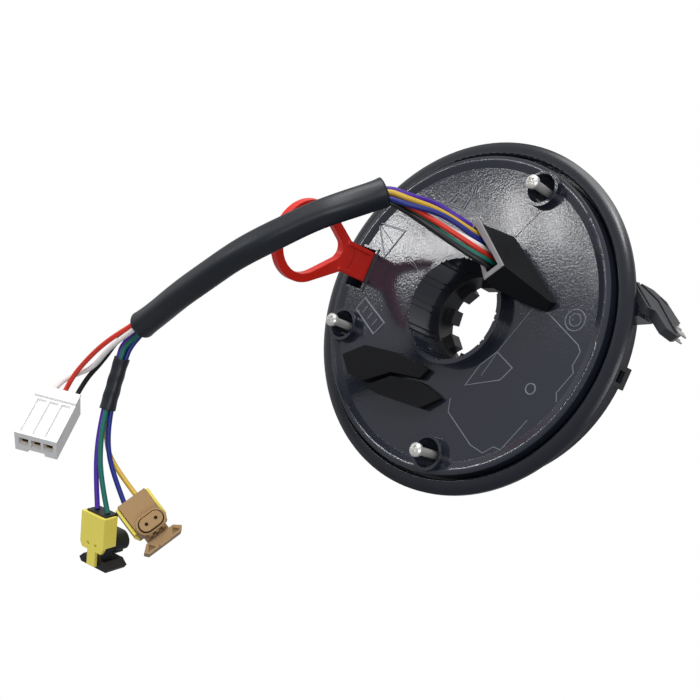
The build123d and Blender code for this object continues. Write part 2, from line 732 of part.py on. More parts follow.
# White three way plug, seen from its open end: x along the row, y towards the leads
white_plane = Plane(
    origin=(-153.3, -95.0, -17.6), x_dir=(0.717, 0.652, -0.245), z_dir=(0.68, -0.578, 0.451),
)
white_ways = [white_width * share for share in white_way_shares]
with BuildPart() as white_plug:
    with BuildSketch(white_plane.offset(-white_height)):
        with BuildLine():
            Polyline(
                (0.8, 0), (white_width - 0.8, 0), (white_width, -0.8),
                (white_width, -white_length), (0, -white_length), (0, -0.8), close=True,
            )
        make_face()
    extrude(amount=white_height)
    with BuildSketch(white_plane):
        with Locations((white_width / 2, -white_collar / 2)):
            Rectangle(white_width, white_collar)
    extrude(amount=white_collar_rise)
    with BuildSketch(white_plane):
        with Locations(*[(way, -(white_collar + white_length) / 2) for way in white_ways]):
            Rectangle(white_slot_width, white_length - white_collar - 2.4)
    extrude(amount=-white_slot_depth, mode=Mode.SUBTRACT)
    open_end = Plane(
        origin=white_plane.from_local_coords((0, -white_length, 0)),
        x_dir=white_plane.x_dir, z_dir=-white_plane.y_dir,
    )
    with BuildSketch(open_end):
        with Locations(*[(way, -white_height * 0.48) for way in white_ways]):
            Rectangle(white_cavity_width, white_cavity_height)
    extrude(amount=-white_cavity_depth, mode=Mode.SUBTRACT)
    with BuildSketch(white_plane.offset(-white_height)):
        with Locations((white_width / 2, -white_length)):
            Circle(white_notch_radius)
    extrude(amount=white_notch_rise, mode=Mode.SUBTRACT)
white_plug.part.label = "white_plug"

with BuildPart() as white_contacts:
    with BuildSketch(open_end.offset(-white_cavity_depth)):
        with Locations(*[(way, -white_height * 0.48) for way in white_ways]):
            Rectangle(white_cavity_width - 1.0, white_cavity_height - 1.4)
    extrude(amount=white_cavity_depth - 1.6)
    with BuildSketch(open_end.offset(-white_cavity_depth + 2)):
        with Locations(*[(way, -white_height * 0.48) for way in white_ways]):
            Rectangle(white_cavity_width - 1.6, white_cavity_height - 2.0)
    extrude(amount=white_cavity_depth, mode=Mode.SUBTRACT)
white_contacts.part.label = "white_contacts"


def airbag_plug_body(plane, half_width):
    """Squib plug: x across, y towards the leads, z the way that its nose points."""
    half_block = half_width - lock_wall - lock_play
    with BuildPart() as body:
        with BuildSketch(plane.offset(-squib_thickness / 2)):
            with Locations((0, -squib_block_length / 2)):
                Rectangle(2 * half_block, squib_block_length)
            with Locations((0, -(squib_block_length + squib_length) / 2)):
                Rectangle(2 * half_block - 3, squib_length - squib_block_length)
        extrude(amount=squib_thickness)
        with BuildSketch(plane.offset(squib_thickness / 2)):
            with Locations((0, squib_nose_y)):
                Circle(squib_nose_radius)
                for angle in squib_rib_angles:
                    turn = radians(angle)
                    spot = (squib_nose_radius * cos(turn), squib_nose_radius * sin(turn))
                    with Locations(Location(spot, angle)):
                        Rectangle(1.4, 1.3)
        extrude(amount=squib_nose_length)
        with BuildSketch(plane.offset(squib_thickness / 2 + squib_nose_length)):
            for side in (-1, 1):
                with Locations((side * squib_contact_spacing / 2, squib_nose_y)):
                    Circle(squib_contact_radius)
        extrude(amount=-squib_nose_length, mode=Mode.SUBTRACT)
        with BuildSketch(plane.offset(-squib_thickness / 2)):
            with BuildLine():
                Polyline(
                    (-squib_wing, -squib_length - 0.4), (-squib_wing + 2.6, squib_wing_top),
                    (squib_wing - 2.6, squib_wing_top), (squib_wing, -squib_length - 0.4),
                    (squib_wing - 1.2, -squib_length - squib_wing_drop),
                    (-squib_wing + 1.2, -squib_length - squib_wing_drop), close=True,
                )
            make_face()
        extrude(amount=squib_thickness + squib_wing_reach)
        with BuildSketch(plane.offset(squib_thickness / 2 + squib_wing_reach)):
            for side in (-1, 1):
                with BuildLine():
                    Polyline(
                        (side * (squib_wing - 1.5), -squib_length - 1.0),
                        (side * (squib_wing - 4.6), -squib_length - 1.0),
                        (side * (squib_wing - 3.4), squib_wing_top - 0.7), close=True,
                    )
                make_face()
        extrude(amount=-squib_wing_recess, mode=Mode.SUBTRACT)
    return body.part


def airbag_plug_lock(plane, half_width):
    """Sliding lock over the back and both edges of a squib plug."""
    back = -squib_thickness / 2 - lock_play - lock_back
    with BuildPart() as lock:
        with BuildSketch(plane.offset(back)):
            with BuildLine():
                Polyline(
                    (-half_width, -0.6), (half_width, -0.6), (half_width, -squib_block_length + 2),
                    (half_width - 1.2, -squib_block_length), (lock_foot_half, -squib_block_length),
                    (lock_foot_half, -squib_length - 1.2), (-lock_foot_half, -squib_length - 1.2),
                    (-lock_foot_half, -squib_block_length), (-half_width + 1.2, -squib_block_length),
                    (-half_width, -squib_block_length + 2), close=True,
                )
            make_face()
            with Locations((-2.2, -squib_block_length + 2.4), (2.2, -squib_block_length + 2.4)):
                Circle(0.75, mode=Mode.SUBTRACT)
        extrude(amount=lock_back)
        with BuildSketch(plane.offset(back)):
            for side in (-1, 1):
                with Locations((side * (half_width - lock_wall / 2), -0.6 - lock_side_length / 2)):
                    Rectangle(lock_wall, lock_side_length)
        extrude(amount=lock_side_reach)
        edge = Plane(
            origin=plane.from_local_coords((0, 0, 0)), x_dir=plane.z_dir, z_dir=plane.x_dir,
        )
        with BuildSketch(edge):
            with Locations((lock_window_z, lock_window_y)):
                Rectangle(lock_window, lock_window)
        extrude(amount=half_width + 1, both=True, mode=Mode.SUBTRACT)
    return lock.part


plug_a_plane = Plane(
    origin=(-128.1, -79.4, -68.75), x_dir=(-0.922, -0.091, 0.375), z_dir=(0.038, 0.946, 0.322),
)
plug_b_plane = Plane(
    origin=(-120.2, -72.5, -63.9), x_dir=(0.496, 0.599, 0.629), z_dir=(0.762, -0.647, 0.015),
)
squib_parts = []
for letter, plane, half_width in (("a", plug_a_plane, 6.85), ("b", plug_b_plane, 7.45)):
    plug = airbag_plug_body(plane, half_width)
    plug.label = f"airbag_plug_{letter}"
    lock = airbag_plug_lock(plane, half_width)
    lock.label = f"plug_{letter}_lock"
    squib_parts += [plug, lock]


def cord(points, diameter):
    """Tube along a route: straight runs joined by the largest tangent arcs they allow."""
    vectors = [Vector(*point) for point in points]
    radii = []
    for before, corner, after in zip(vectors, vectors[1:], vectors[2:]):
        run_in = corner - before
        run_out = after - corner
        half_turn = radians(run_in.get_angle(run_out)) / 2
        radii.append(arc_share * min(run_in.length, run_out.length) / tan(half_turn))
    with BuildPart() as tube:
        with BuildLine() as path:
            if radii:
                FilletPolyline(*vectors, radius=radii)
            else:
                Polyline(*vectors)
        with BuildSketch(Plane(origin=vectors[0], z_dir=vectors[1] - vectors[0])):
            Circle(diameter / 2)
        sweep(path=path.wire())
    section = pi * diameter ** 2 / 4
    length = path.wire().length
    share = tube.part.volume / (section * length)
    return tube.part, radii, length, share


cords = []
routes = [(f"near_{name}", points, lead_diameter) for name, points in near_routes.items()]
routes += [(f"mid_{name}", points, lead_diameter) for name, points in mid_routes.items()]
routes += [(f"far_{name}", points, lead_diameter) for name, points in far_routes.items()]
routes += [
    ("main_sleeve", sleeve_route, main_sleeve_diameter),
    ("branch_sleeve", branch_route, branch_sleeve_diameter),
]
for name, points, diameter in routes:
    tube, radii, length, share = cord(points, diameter)
    tube.label = name
    cords.append(tube)
    shown = ", ".join(f"{radius:.1f}" for radius in radii)
    print(f"{name}: length {length:.1f}, radii {shown}, volume share {share:.4f}")

pieces = [
    stator_housing.part, base_cover.part, wear_ring.part, ribbon_cable.part,
    rear_plug_shroud.part, rear_terminals.part, rotor_disc.part, driver_collar.part,
    terminal_block.part, wire_exit_hood.part, cable_guide_upper.part, cable_guide_lower.part,
    lock_pull.part, white_plug.part, white_contacts.part, *screws, *squib_parts, *cords,
]
for piece in pieces:
    export_step(piece, f"parts/{piece.label}.step")
    print(piece.label, len(piece.solids()), round(piece.volume, 1))
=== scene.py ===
"""Looks of a steering clock spring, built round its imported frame.

The fixed housing, the gloss rotor, the hoods and the screws keep their own meshes and get
procedural finishes. The leads, their two sleeves, the lock ring, the rear plug, the airbag plugs,
the lid of the empty guide, the lip of the hood and the raised marks of the rotor face are made
here. The turning axis lies along Y and the rotor face looks along -Y. The scene is in metres, and
the routes, marks and mouldings are written in millimetres.
"""

import logging
import math
from dataclasses import dataclass, field
from enum import Enum

import bmesh
import bpy
import numpy as np
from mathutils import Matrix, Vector


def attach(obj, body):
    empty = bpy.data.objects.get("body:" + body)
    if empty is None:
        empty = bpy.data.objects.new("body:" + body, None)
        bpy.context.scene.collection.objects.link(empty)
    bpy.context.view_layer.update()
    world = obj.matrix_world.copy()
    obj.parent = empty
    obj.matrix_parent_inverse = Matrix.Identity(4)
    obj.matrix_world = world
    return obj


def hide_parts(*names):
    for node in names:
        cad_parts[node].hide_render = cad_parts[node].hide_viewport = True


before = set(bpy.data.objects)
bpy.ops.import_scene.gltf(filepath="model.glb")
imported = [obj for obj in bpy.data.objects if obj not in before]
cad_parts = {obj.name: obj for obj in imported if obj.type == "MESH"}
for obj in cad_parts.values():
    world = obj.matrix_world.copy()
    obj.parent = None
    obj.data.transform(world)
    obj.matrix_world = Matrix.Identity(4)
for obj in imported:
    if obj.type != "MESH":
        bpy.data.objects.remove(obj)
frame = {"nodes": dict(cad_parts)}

log = logging.getLogger("clock_spring")

MM = 0.001
# How far the rotor face lies in front of the origin
FACE_LEVEL = 0.0227
# Features per metre of the cloudy colour and of the uneven gloss
TONE_SCALE = 60.0
WEAR_SCALE = 85.0
COAT_ROUGHNESS = 0.08
# Points closer than this are one point
MERGE_DISTANCE = 2e-7
# Edges steeper than the first are drawn sharp, and edges steeper than the second are rounded
SHARP_ANGLE = math.radians(30)
ROUNDED_ANGLE = math.radians(40)


def metres(*points: tuple) -> tuple:
    """Turns points from millimetres into metres, to a thousandth of a millimetre."""
    return tuple(tuple(round(value * MM, 6) for value in point) for point in points)


SLEEVE_ROUTE = metres(
    (-2.0, -66.0, 33.0), (-12.0, -76.0, 27.0), (-24.0, -82.0, 23.0), (-38.0, -88.0, 17.0),
    (-56.0, -90.0, 12.0), (-78.0, -88.0, 7.0), (-106.0, -84.0, 1.0),
)
BRANCH_ROUTE = metres(
    (-118.2, -83.0, -10.0), (-123.1, -82.1, -19.4), (-127.0, -81.5, -29.0),
)
NEAR_ROUTES = {
    "violet": metres(
        (17.9, -31.0, 23.3), (17.9, -39.0, 23.3), (9.4, -50.0, 31.5), (5.6, -60.2, 31.3),
        (-0.7, -66.2, 34.9),
    ),
    "yellow": metres(
        (19.1, -31.0, 20.4), (19.1, -39.0, 20.4), (11.6, -51.4, 27.7), (6.0, -61.8, 29.5),
        (-0.4, -67.6, 33.1),
    ),
    "blue": metres(
        (20.4, -31.0, 17.4), (20.4, -39.0, 17.4), (13.6, -51.5, 25.3), (5.3, -62.2, 27.5),
        (-1.7, -67.4, 31.2),
    ),
    "white": metres(
        (21.6, -31.0, 14.4), (21.6, -39.0, 14.4), (12.0, -48.7, 22.3), (3.8, -58.4, 31.2),
        (-2.3, -64.6, 34.8),
    ),
    "red": metres(
        (22.8, -31.0, 11.4), (22.8, -39.0, 11.4), (14.8, -50.0, 19.3), (3.6, -59.5, 29.0),
        (-2.0, -66.0, 33.0),
    ),
    "green": metres(
        (24.1, -31.0, 8.4), (24.1, -39.0, 8.4), (14.5, -48.5, 16.3), (1.9, -58.0, 28.9),
        (-3.6, -64.4, 32.9),
    ),
    "black": metres(
        (25.3, -31.0, 5.4), (25.3, -39.0, 5.4), (17.1, -50.0, 12.7), (2.7, -59.8, 27.1),
        (-3.3, -65.8, 31.1),
    ),
}
MID_ROUTES = {
    "violet": metres(
        (-106.0, -84.0, 1.0), (-110.8, -82.8, 0.0), (-117.3, -84.2, -5.0), (-119.3, -83.9, -9.6),
    ),
    "green": metres(
        (-105.6, -84.0, -1.1), (-110.3, -82.8, -2.4), (-115.2, -84.5, -6.0), (-117.4, -84.2, -10.5),
    ),
    "blue": metres(
        (-105.5, -82.2, 0.0), (-110.2, -80.7, -1.2), (-114.8, -82.1, -6.0), (-117.1, -82.1, -10.4),
    ),
    "yellow": metres(
        (-106.0, -82.1, 2.1), (-110.7, -80.7, 1.2), (-117.0, -81.8, -4.9), (-119.0, -81.8, -9.5),
    ),
}
FAR_ROUTES = {
    "violet": metres(
        (-128.1, -82.4, -28.6), (-131.6, -81.6, -42.0), (-132.0, -80.8, -55.0),
        (-130.9, -79.7, -67.6),
    ),
    "green": metres(
        (-126.2, -82.7, -29.5), (-127.4, -83.4, -42.0), (-127.2, -82.4, -56.0),
        (-125.3, -79.1, -69.9),
    ),
    "blue": metres(
        (-125.9, -80.6, -29.4), (-127.2, -80.2, -41.5), (-126.5, -77.8, -52.7),
        (-121.7, -74.3, -65.8),
    ),
    "yellow": metres(
        (-127.8, -80.3, -28.5), (-131.7, -77.6, -40.4), (-129.0, -75.0, -50.3),
        (-119.0, -71.1, -62.4),
    ),
    "red": metres(
        (-106.5, -85.8, 2.0), (-121.5, -88.4, -3.5), (-134.0, -88.0, -8.8), (-145.5, -86.8, -15.0),
        (-150.3, -87.0, -23.0),
    ),
    "black": metres(
        (-106.4, -84.0, 3.1), (-121.5, -82.4, -0.6), (-132.0, -81.5, -8.2), (-141.8, -82.8, -15.3),
        (-147.0, -83.6, -24.2),
    ),
    "white": metres(
        (-106.0, -85.9, -0.1), (-120.0, -88.0, -6.2), (-133.5, -84.9, -11.6),
        (-145.5, -84.6, -12.2), (-152.8, -87.6, -15.6), (-154.0, -90.0, -21.8),
    ),
}


class Grain(Enum):
    """How the surface of a finish is textured, as (features per metre, depth in metres)."""

    SMOOTH = (900.0, 0.000002)
    MOULDED = (2600.0, 0.000012)
    PEEL = (1300.0, 0.000042)
    MATT = (5200.0, 0.000022)
    SKIN = (700.0, 0.000030)


@dataclass(frozen=True)
class Finish:
    """A procedural finish.

    Args:
        name: name of the material.
        rgb: the base colour as screen values from 0 to 255.
        roughness: mean roughness.
        spread: how far the roughness wanders either way.
        metallic: 0 for plastic, 1 for bare metal.
        coat: weight of the clear gloss on top.
        grain: texture of the surface.
        edge: radius in metres by which sharp edges look rounded.
        mottle: share by which the colour wanders.
        specular: strength of the plain reflection.
    """

    name: str
    rgb: tuple
    roughness: float = 0.45
    spread: float = 0.06
    metallic: float = 0.0
    coat: float = 0.0
    grain: Grain = Grain.MOULDED
    edge: float = 0.00025
    mottle: float = 0.10
    specular: float = 0.5

    def linear(self) -> tuple:
        """Returns the base colour as linear values with an alpha of one."""
        return tuple(linear(value / 255) for value in self.rgb) + (1.0,)

    def material(self) -> bpy.types.Material:
        """Returns the material of this finish, made at its first use."""
        found = bpy.data.materials.get(self.name)
        if found:
            return found
        made = bpy.data.materials.new(self.name)
        made.use_nodes = True
        nodes = made.node_tree.nodes
        shader = nodes["Principled BSDF"]
        shader.inputs["Metallic"].default_value = self.metallic
        shader.inputs["Specular IOR Level"].default_value = self.specular
        shader.inputs["Coat Weight"].default_value = self.coat
        shader.inputs["Coat Roughness"].default_value = COAT_ROUGHNESS
        place = nodes.new("ShaderNodeTexCoord")
        scale, depth = self.grain.value
        parts = (
            ("tone", "Color", "Base Color",
             {"Base": self.linear(), "Mottle": self.mottle, "Scale": TONE_SCALE}),
            ("wear", "Roughness", "Roughness",
             {"Mean": self.roughness, "Spread": self.spread, "Scale": WEAR_SCALE}),
            ("relief", "Normal", "Normal",
             {"Scale": scale, "Depth": depth, "Edge": self.edge}),
        )
        for group, result, socket, values in parts:
            part = group_node(nodes, group, values)
            join(
                made.node_tree, (place, "Object", part, "Place"), (part, result, shader, socket),
            )
        log.info("finish %s", self.name)
        return made


def linear(value: float) -> float:
    """Turns a screen value from 0 to 1 into a linear one.

    Below the knee the two are in proportion, and above it the linear value is a power of 2.4.
    """
    return value / 12.92 if value <= 0.04045 else ((value + 0.055) / 1.055) ** 2.4


def new_group(name: str, inputs: list, outputs: list) -> tuple:
    """Starts a shader node group with named sockets.

    Args:
        name: name of the group.
        inputs: (name, socket type, first value or None) of each input.
        outputs: (name, socket type) of each output.

    Returns:
        The group, its input node and its output node.
    """
    group = bpy.data.node_groups.new(name, "ShaderNodeTree")
    for label, kind, value in inputs:
        socket = group.interface.new_socket(label, in_out="INPUT", socket_type=kind)
        if value is not None:
            socket.default_value = value
    for label, kind in outputs:
        group.interface.new_socket(label, in_out="OUTPUT", socket_type=kind)
    return group, group.nodes.new("NodeGroupInput"), group.nodes.new("NodeGroupOutput")


def join(tree: bpy.types.NodeTree, *joints: tuple) -> None:
    """Links the nodes of a tree.

    Args:
        tree: the tree that they are in.
        joints: (node, its output, next node, its input) of each link.
    """
    for source, output, target, socket in joints:
        tree.links.new(source.outputs[output], target.inputs[socket])


def math_node(nodes: bpy.types.Nodes, operation: str, *values: float) -> bpy.types.Node:
    """Adds a maths node.

    Args:
        nodes: the nodes that it joins.
        operation: what it works out.
        values: the value of each input in turn, or None for one that gets a link.

    Returns:
        The new node.
    """
    node = nodes.new("ShaderNodeMath")
    node.operation = operation
    for socket, value in zip(node.inputs, values):
        if value is not None:
            socket.default_value = value
    return node


def noise_node(
    group: bpy.types.NodeTree, start: bpy.types.Node, detail: float, roughness: float = 0.5,
) -> bpy.types.Node:
    """Adds a noise that is fed by the place and the scale that a group is given.

    Args:
        group: the group that it joins.
        start: the group's input node.
        detail: how many finer layers it has.
        roughness: how strong the finer layers are.

    Returns:
        The new node.
    """
    noise = group.nodes.new("ShaderNodeTexNoise")
    noise.inputs["Detail"].default_value = detail
    noise.inputs["Roughness"].default_value = roughness
    join(group, (start, "Place", noise, "Vector"), (start, "Scale", noise, "Scale"))
    return noise


def tone_group(name: str) -> bpy.types.NodeTree:
    """Colour that wanders a little over the piece: cloudy noise darkens or lightens the base.

    The base is multiplied by one plus the mottle times the noise less a half.
    """
    group, start, end = new_group(
        name,
        [("Place", "NodeSocketVector", None), ("Base", "NodeSocketColor", None),
         ("Mottle", "NodeSocketFloat", 0.1), ("Scale", "NodeSocketFloat", TONE_SCALE)],
        [("Color", "NodeSocketColor")],
    )
    noise = noise_node(group, start, 4.0)
    centred = math_node(group.nodes, "SUBTRACT", None, 0.5)
    share = math_node(group.nodes, "MULTIPLY_ADD", None, None, 1.0)
    scaled = group.nodes.new("ShaderNodeVectorMath")
    scaled.operation = "SCALE"
    join(
        group, (noise, "Fac", centred, 0), (centred, 0, share, 0), (start, "Mottle", share, 1),
        (start, "Base", scaled, 0), (share, 0, scaled, "Scale"), (scaled, "Vector", end, "Color"),
    )
    return group


def wear_group(name: str) -> bpy.types.NodeTree:
    """Roughness that wanders round its mean, as on handled plastic.

    The noise is stretched to run from -1 to 1, and the spread times it is added to the mean.
    """
    group, start, end = new_group(
        name,
        [("Place", "NodeSocketVector", None), ("Mean", "NodeSocketFloat", 0.4),
         ("Spread", "NodeSocketFloat", 0.05), ("Scale", "NodeSocketFloat", WEAR_SCALE)],
        [("Roughness", "NodeSocketFloat")],
    )
    noise = noise_node(group, start, 5.0, 0.65)
    centred = math_node(group.nodes, "MULTIPLY_ADD", None, 2.0, -1.0)
    total = math_node(group.nodes, "MULTIPLY_ADD")
    total.use_clamp = True
    join(
        group, (noise, "Fac", centred, 0), (centred, 0, total, 0), (start, "Spread", total, 1),
        (start, "Mean", total, 2), (total, 0, end, "Roughness"),
    )
    return group


def relief_group(name: str) -> bpy.types.NodeTree:
    """Normal of a moulded surface: edges look rounded, and fine noise gives the grain."""
    group, start, end = new_group(
        name,
        [("Place", "NodeSocketVector", None), ("Scale", "NodeSocketFloat", 1500.0),
         ("Depth", "NodeSocketFloat", 0.00001), ("Edge", "NodeSocketFloat", 0.00025)],
        [("Normal", "NodeSocketVector")],
    )
    noise = noise_node(group, start, 2.0)
    edge = group.nodes.new("ShaderNodeBevel")
    edge.samples = 4
    bump = group.nodes.new("ShaderNodeBump")
    bump.inputs["Strength"].default_value = 1.0
    join(
        group, (start, "Edge", edge, "Radius"), (start, "Depth", bump, "Distance"),
        (noise, "Fac", bump, "Height"), (edge, "Normal", bump, "Normal"),
        (bump, "Normal", end, "Normal"),
    )
    return group


GROUPS = {"tone": tone_group, "wear": wear_group, "relief": relief_group}


def group_node(nodes: bpy.types.Nodes, name: str, values: dict) -> bpy.types.Node:
    """Adds a node that uses one of the shared groups, which is made at its first use.

    Args:
        nodes: the nodes that it joins.
        name: which group it is.
        values: the fixed value of each input that has one.

    Returns:
        The new node.
    """
    node = nodes.new("ShaderNodeGroup")
    node.node_tree = bpy.data.node_groups.get(name) or GROUPS[name](name)
    for label, value in values.items():
        node.inputs[label].default_value = value
    return node


ROTOR = Finish(
    "rotor_gloss", (36, 39, 50), 0.10, 0.04, coat=0.2, grain=Grain.PEEL, edge=0.0001, specular=0.6,
)
HOUSING = Finish("housing_satin", (24, 27, 36), 0.24, 0.05)
PLATE = Finish("plate_grey", (50, 51, 56), 0.30, 0.06)
COVER = Finish("cover_satin", (38, 39, 43), 0.46, 0.06)
MATT = Finish("hood_matt", (12, 13, 16), 0.58, 0.05, grain=Grain.MATT, specular=0.22)
RIM = Finish("hood_rim", (150, 148, 150), 0.50, 0.05)
DRIVER = Finish("driver_black", (26, 27, 31), 0.42, 0.05)
BLOCK = Finish("block_black", (18, 19, 22), 0.50, 0.04, grain=Grain.MATT)
# The raised marks are the rotor's own black plastic; their light grey is a painted highlight
# standing in for the light that their raised edges catch.
PAINTED_HIGHLIGHT_MARKS = Finish("mark_painted_highlight", (116, 120, 130), 0.22, 0.05, grain=Grain.SMOOTH, edge=0.0001)
ACETAL = Finish("ring_natural", (196, 194, 184), 0.42, 0.04)
RIBBON = Finish("ribbon_film", (190, 120, 60), 0.35, 0.05, grain=Grain.SMOOTH)
PULL = Finish("pull_red", (226, 36, 20), 0.34, 0.05, grain=Grain.SMOOTH, edge=0.0007)
ZINC = Finish(
    "screw_zinc", (232, 231, 227), 0.26, 0.08, metallic=0.45, grain=Grain.PEEL, edge=0.00012,
)
TIN = Finish("pin_tin", (214, 212, 208), 0.30, 0.06, metallic=1.0, grain=Grain.SMOOTH)
BRASS = Finish("contact_brass", (206, 178, 128), 0.32, 0.06, metallic=1.0, grain=Grain.SMOOTH)
WHITE_PLUG = Finish("plug_white", (248, 248, 248), 0.42, 0.04, grain=Grain.SMOOTH, mottle=0.03)
BLACK_PLUG = Finish("plug_black", (24, 24, 26), 0.44, 0.05)
TAN_PLUG = Finish("plug_tan", (170, 136, 90), 0.46, 0.05)
LOCK_YELLOW = Finish("lock_yellow", (250, 234, 104), 0.40, 0.05, grain=Grain.SMOOTH)
SHRINK = Finish("sleeve_satin", (24, 29, 37), 0.42, 0.07, grain=Grain.SKIN, edge=0.0)

LEAD_FINISHES = {
    colour: Finish(f"lead_{colour}", rgb, roughness, 0.05, grain=Grain.SMOOTH, edge=0.0)
    for colour, rgb, roughness in (
        ("violet", (72, 30, 160), 0.38), ("yellow", (214, 174, 52), 0.38),
        ("blue", (24, 40, 130), 0.38), ("white", (238, 234, 232), 0.38),
        ("red", (218, 52, 34), 0.38), ("green", (8, 104, 92), 0.38),
        ("black", (9, 9, 11), 0.36),
    )
}

NODE_FINISHES = {
    "stator_housing": HOUSING, "base_cover": COVER, "wear_ring": ACETAL, "ribbon_cable": RIBBON,
    "rotor_disc": ROTOR, "driver_collar": DRIVER, "terminal_block": BLOCK, "wire_exit_hood": MATT,
    "cable_guide_upper": MATT, "cable_guide_lower": MATT, "white_plug": WHITE_PLUG,
    "white_contacts": BRASS, "plug_a_lock": LOCK_YELLOW, "plug_b_lock": LOCK_YELLOW,
    "mount_screw_1": ZINC, "mount_screw_2": ZINC, "mount_screw_3": ZINC,
}


def placed(name: str, data: bpy.types.ID) -> bpy.types.Object:
    """Puts a mesh, curve, light or camera into the scene.

    Args:
        name: name of the new object.
        data: what it holds.

    Returns:
        The new object, at the origin.
    """
    made = bpy.data.objects.new(name, data)
    bpy.context.scene.collection.objects.link(made)
    return made


def vectors(items: bpy.types.bpy_prop_collection, key: str) -> np.ndarray:
    """Reads one vector from each point or facet of a mesh.

    Args:
        items: the points or facets.
        key: name of the vector.

    Returns:
        An n by 3 array.
    """
    values = np.empty(len(items) * 3)
    items.foreach_get(key, values)
    return values.reshape(-1, 3)


def grid_faces(rows: int, columns: int, closed_rows: bool, closed_columns: bool) -> np.ndarray:
    """Quads of a grid of points that are numbered row by row.

    Args:
        rows: number of rows.
        columns: number of points in a row.
        closed_rows: whether the last row joins the first.
        closed_columns: whether the last point of a row joins its first.

    Returns:
        An m by 4 array of point numbers.
    """
    row = np.arange(rows if closed_rows else rows - 1)[:, None]
    column = np.arange(columns if closed_columns else columns - 1)[None, :]
    next_row = (row + 1) % rows
    next_column = (column + 1) % columns
    corners = np.stack(
        [row * columns + column, row * columns + next_column,
         next_row * columns + next_column, next_row * columns + column], axis=-1,
    )
    return corners.reshape(-1, 4)


def mesh_object(
    name: str, points: np.ndarray, quads: np.ndarray, finish: Finish, smooth: bool = True,
) -> bpy.types.Object:
    """Puts points and quads into a new object that sits at the origin.

    Args:
        name: name of the piece.
        points: n by 3 array of places in metres.
        quads: m by 4 array of point numbers.
        finish: what the piece is made of.
        smooth: whether its facets are shaded as one surface.

    Returns:
        The new object.
    """
    mesh = bpy.data.meshes.new(name)
    mesh.vertices.add(len(points))
    mesh.vertices.foreach_set("co", np.asarray(points, np.float32).ravel())
    mesh.loops.add(quads.size)
    mesh.loops.foreach_set("vertex_index", quads.astype(np.int32).ravel())
    mesh.polygons.add(len(quads))
    mesh.polygons.foreach_set("loop_start", np.arange(0, quads.size, 4, dtype=np.int32))
    mesh.polygons.foreach_set("use_smooth", np.full(len(quads), smooth))
    mesh.update(calc_edges=True)
    mesh.validate()
    mesh.materials.append(finish.material())
    made = placed(name, mesh)
    log.info("piece %s: %d points", name, len(points))
    return made


def route_curve(name: str, route: tuple | list) -> bpy.types.Object:
    """A smooth open NURBS line that has the route's points as its control points.

    Args:
        name: name of the object.
        route: the control points in metres.

    Returns:
        The new curve object.
    """
    curve = bpy.data.curves.new(name, "CURVE")
    curve.dimensions = "3D"
    curve.resolution_u = 16
    spline = curve.splines.new("NURBS")
    spline.points.add(len(route) - 1)
    for point, place in zip(spline.points, route):
        point.co = (*place, 1.0)
    spline.order_u = 3
    spline.use_endpoint_u = True
    return placed(name, curve)


def route_line(route: tuple) -> np.ndarray:
    """The points along a route's NURBS line, from end to end, as an n by 3 array."""
    line = route_curve("route_line", route)
    bpy.context.view_layer.update()
    mesh = bpy.data.meshes.new_from_object(line)
    points = vectors(mesh.vertices, "co")
    bpy.data.meshes.remove(mesh)
    bpy.data.objects.remove(line)
    return points


def spaced(line: np.ndarray, count: int) -> np.ndarray:
    """The same line with its points spaced evenly by length."""
    steps = np.linalg.norm(np.diff(line, axis=0), axis=1)
    travelled = np.concatenate([[0.0], np.cumsum(steps)])
    wanted = np.linspace(0.0, travelled[-1], count)
    return np.stack([np.interp(wanted, travelled, line[:, axis]) for axis in range(3)], axis=1)


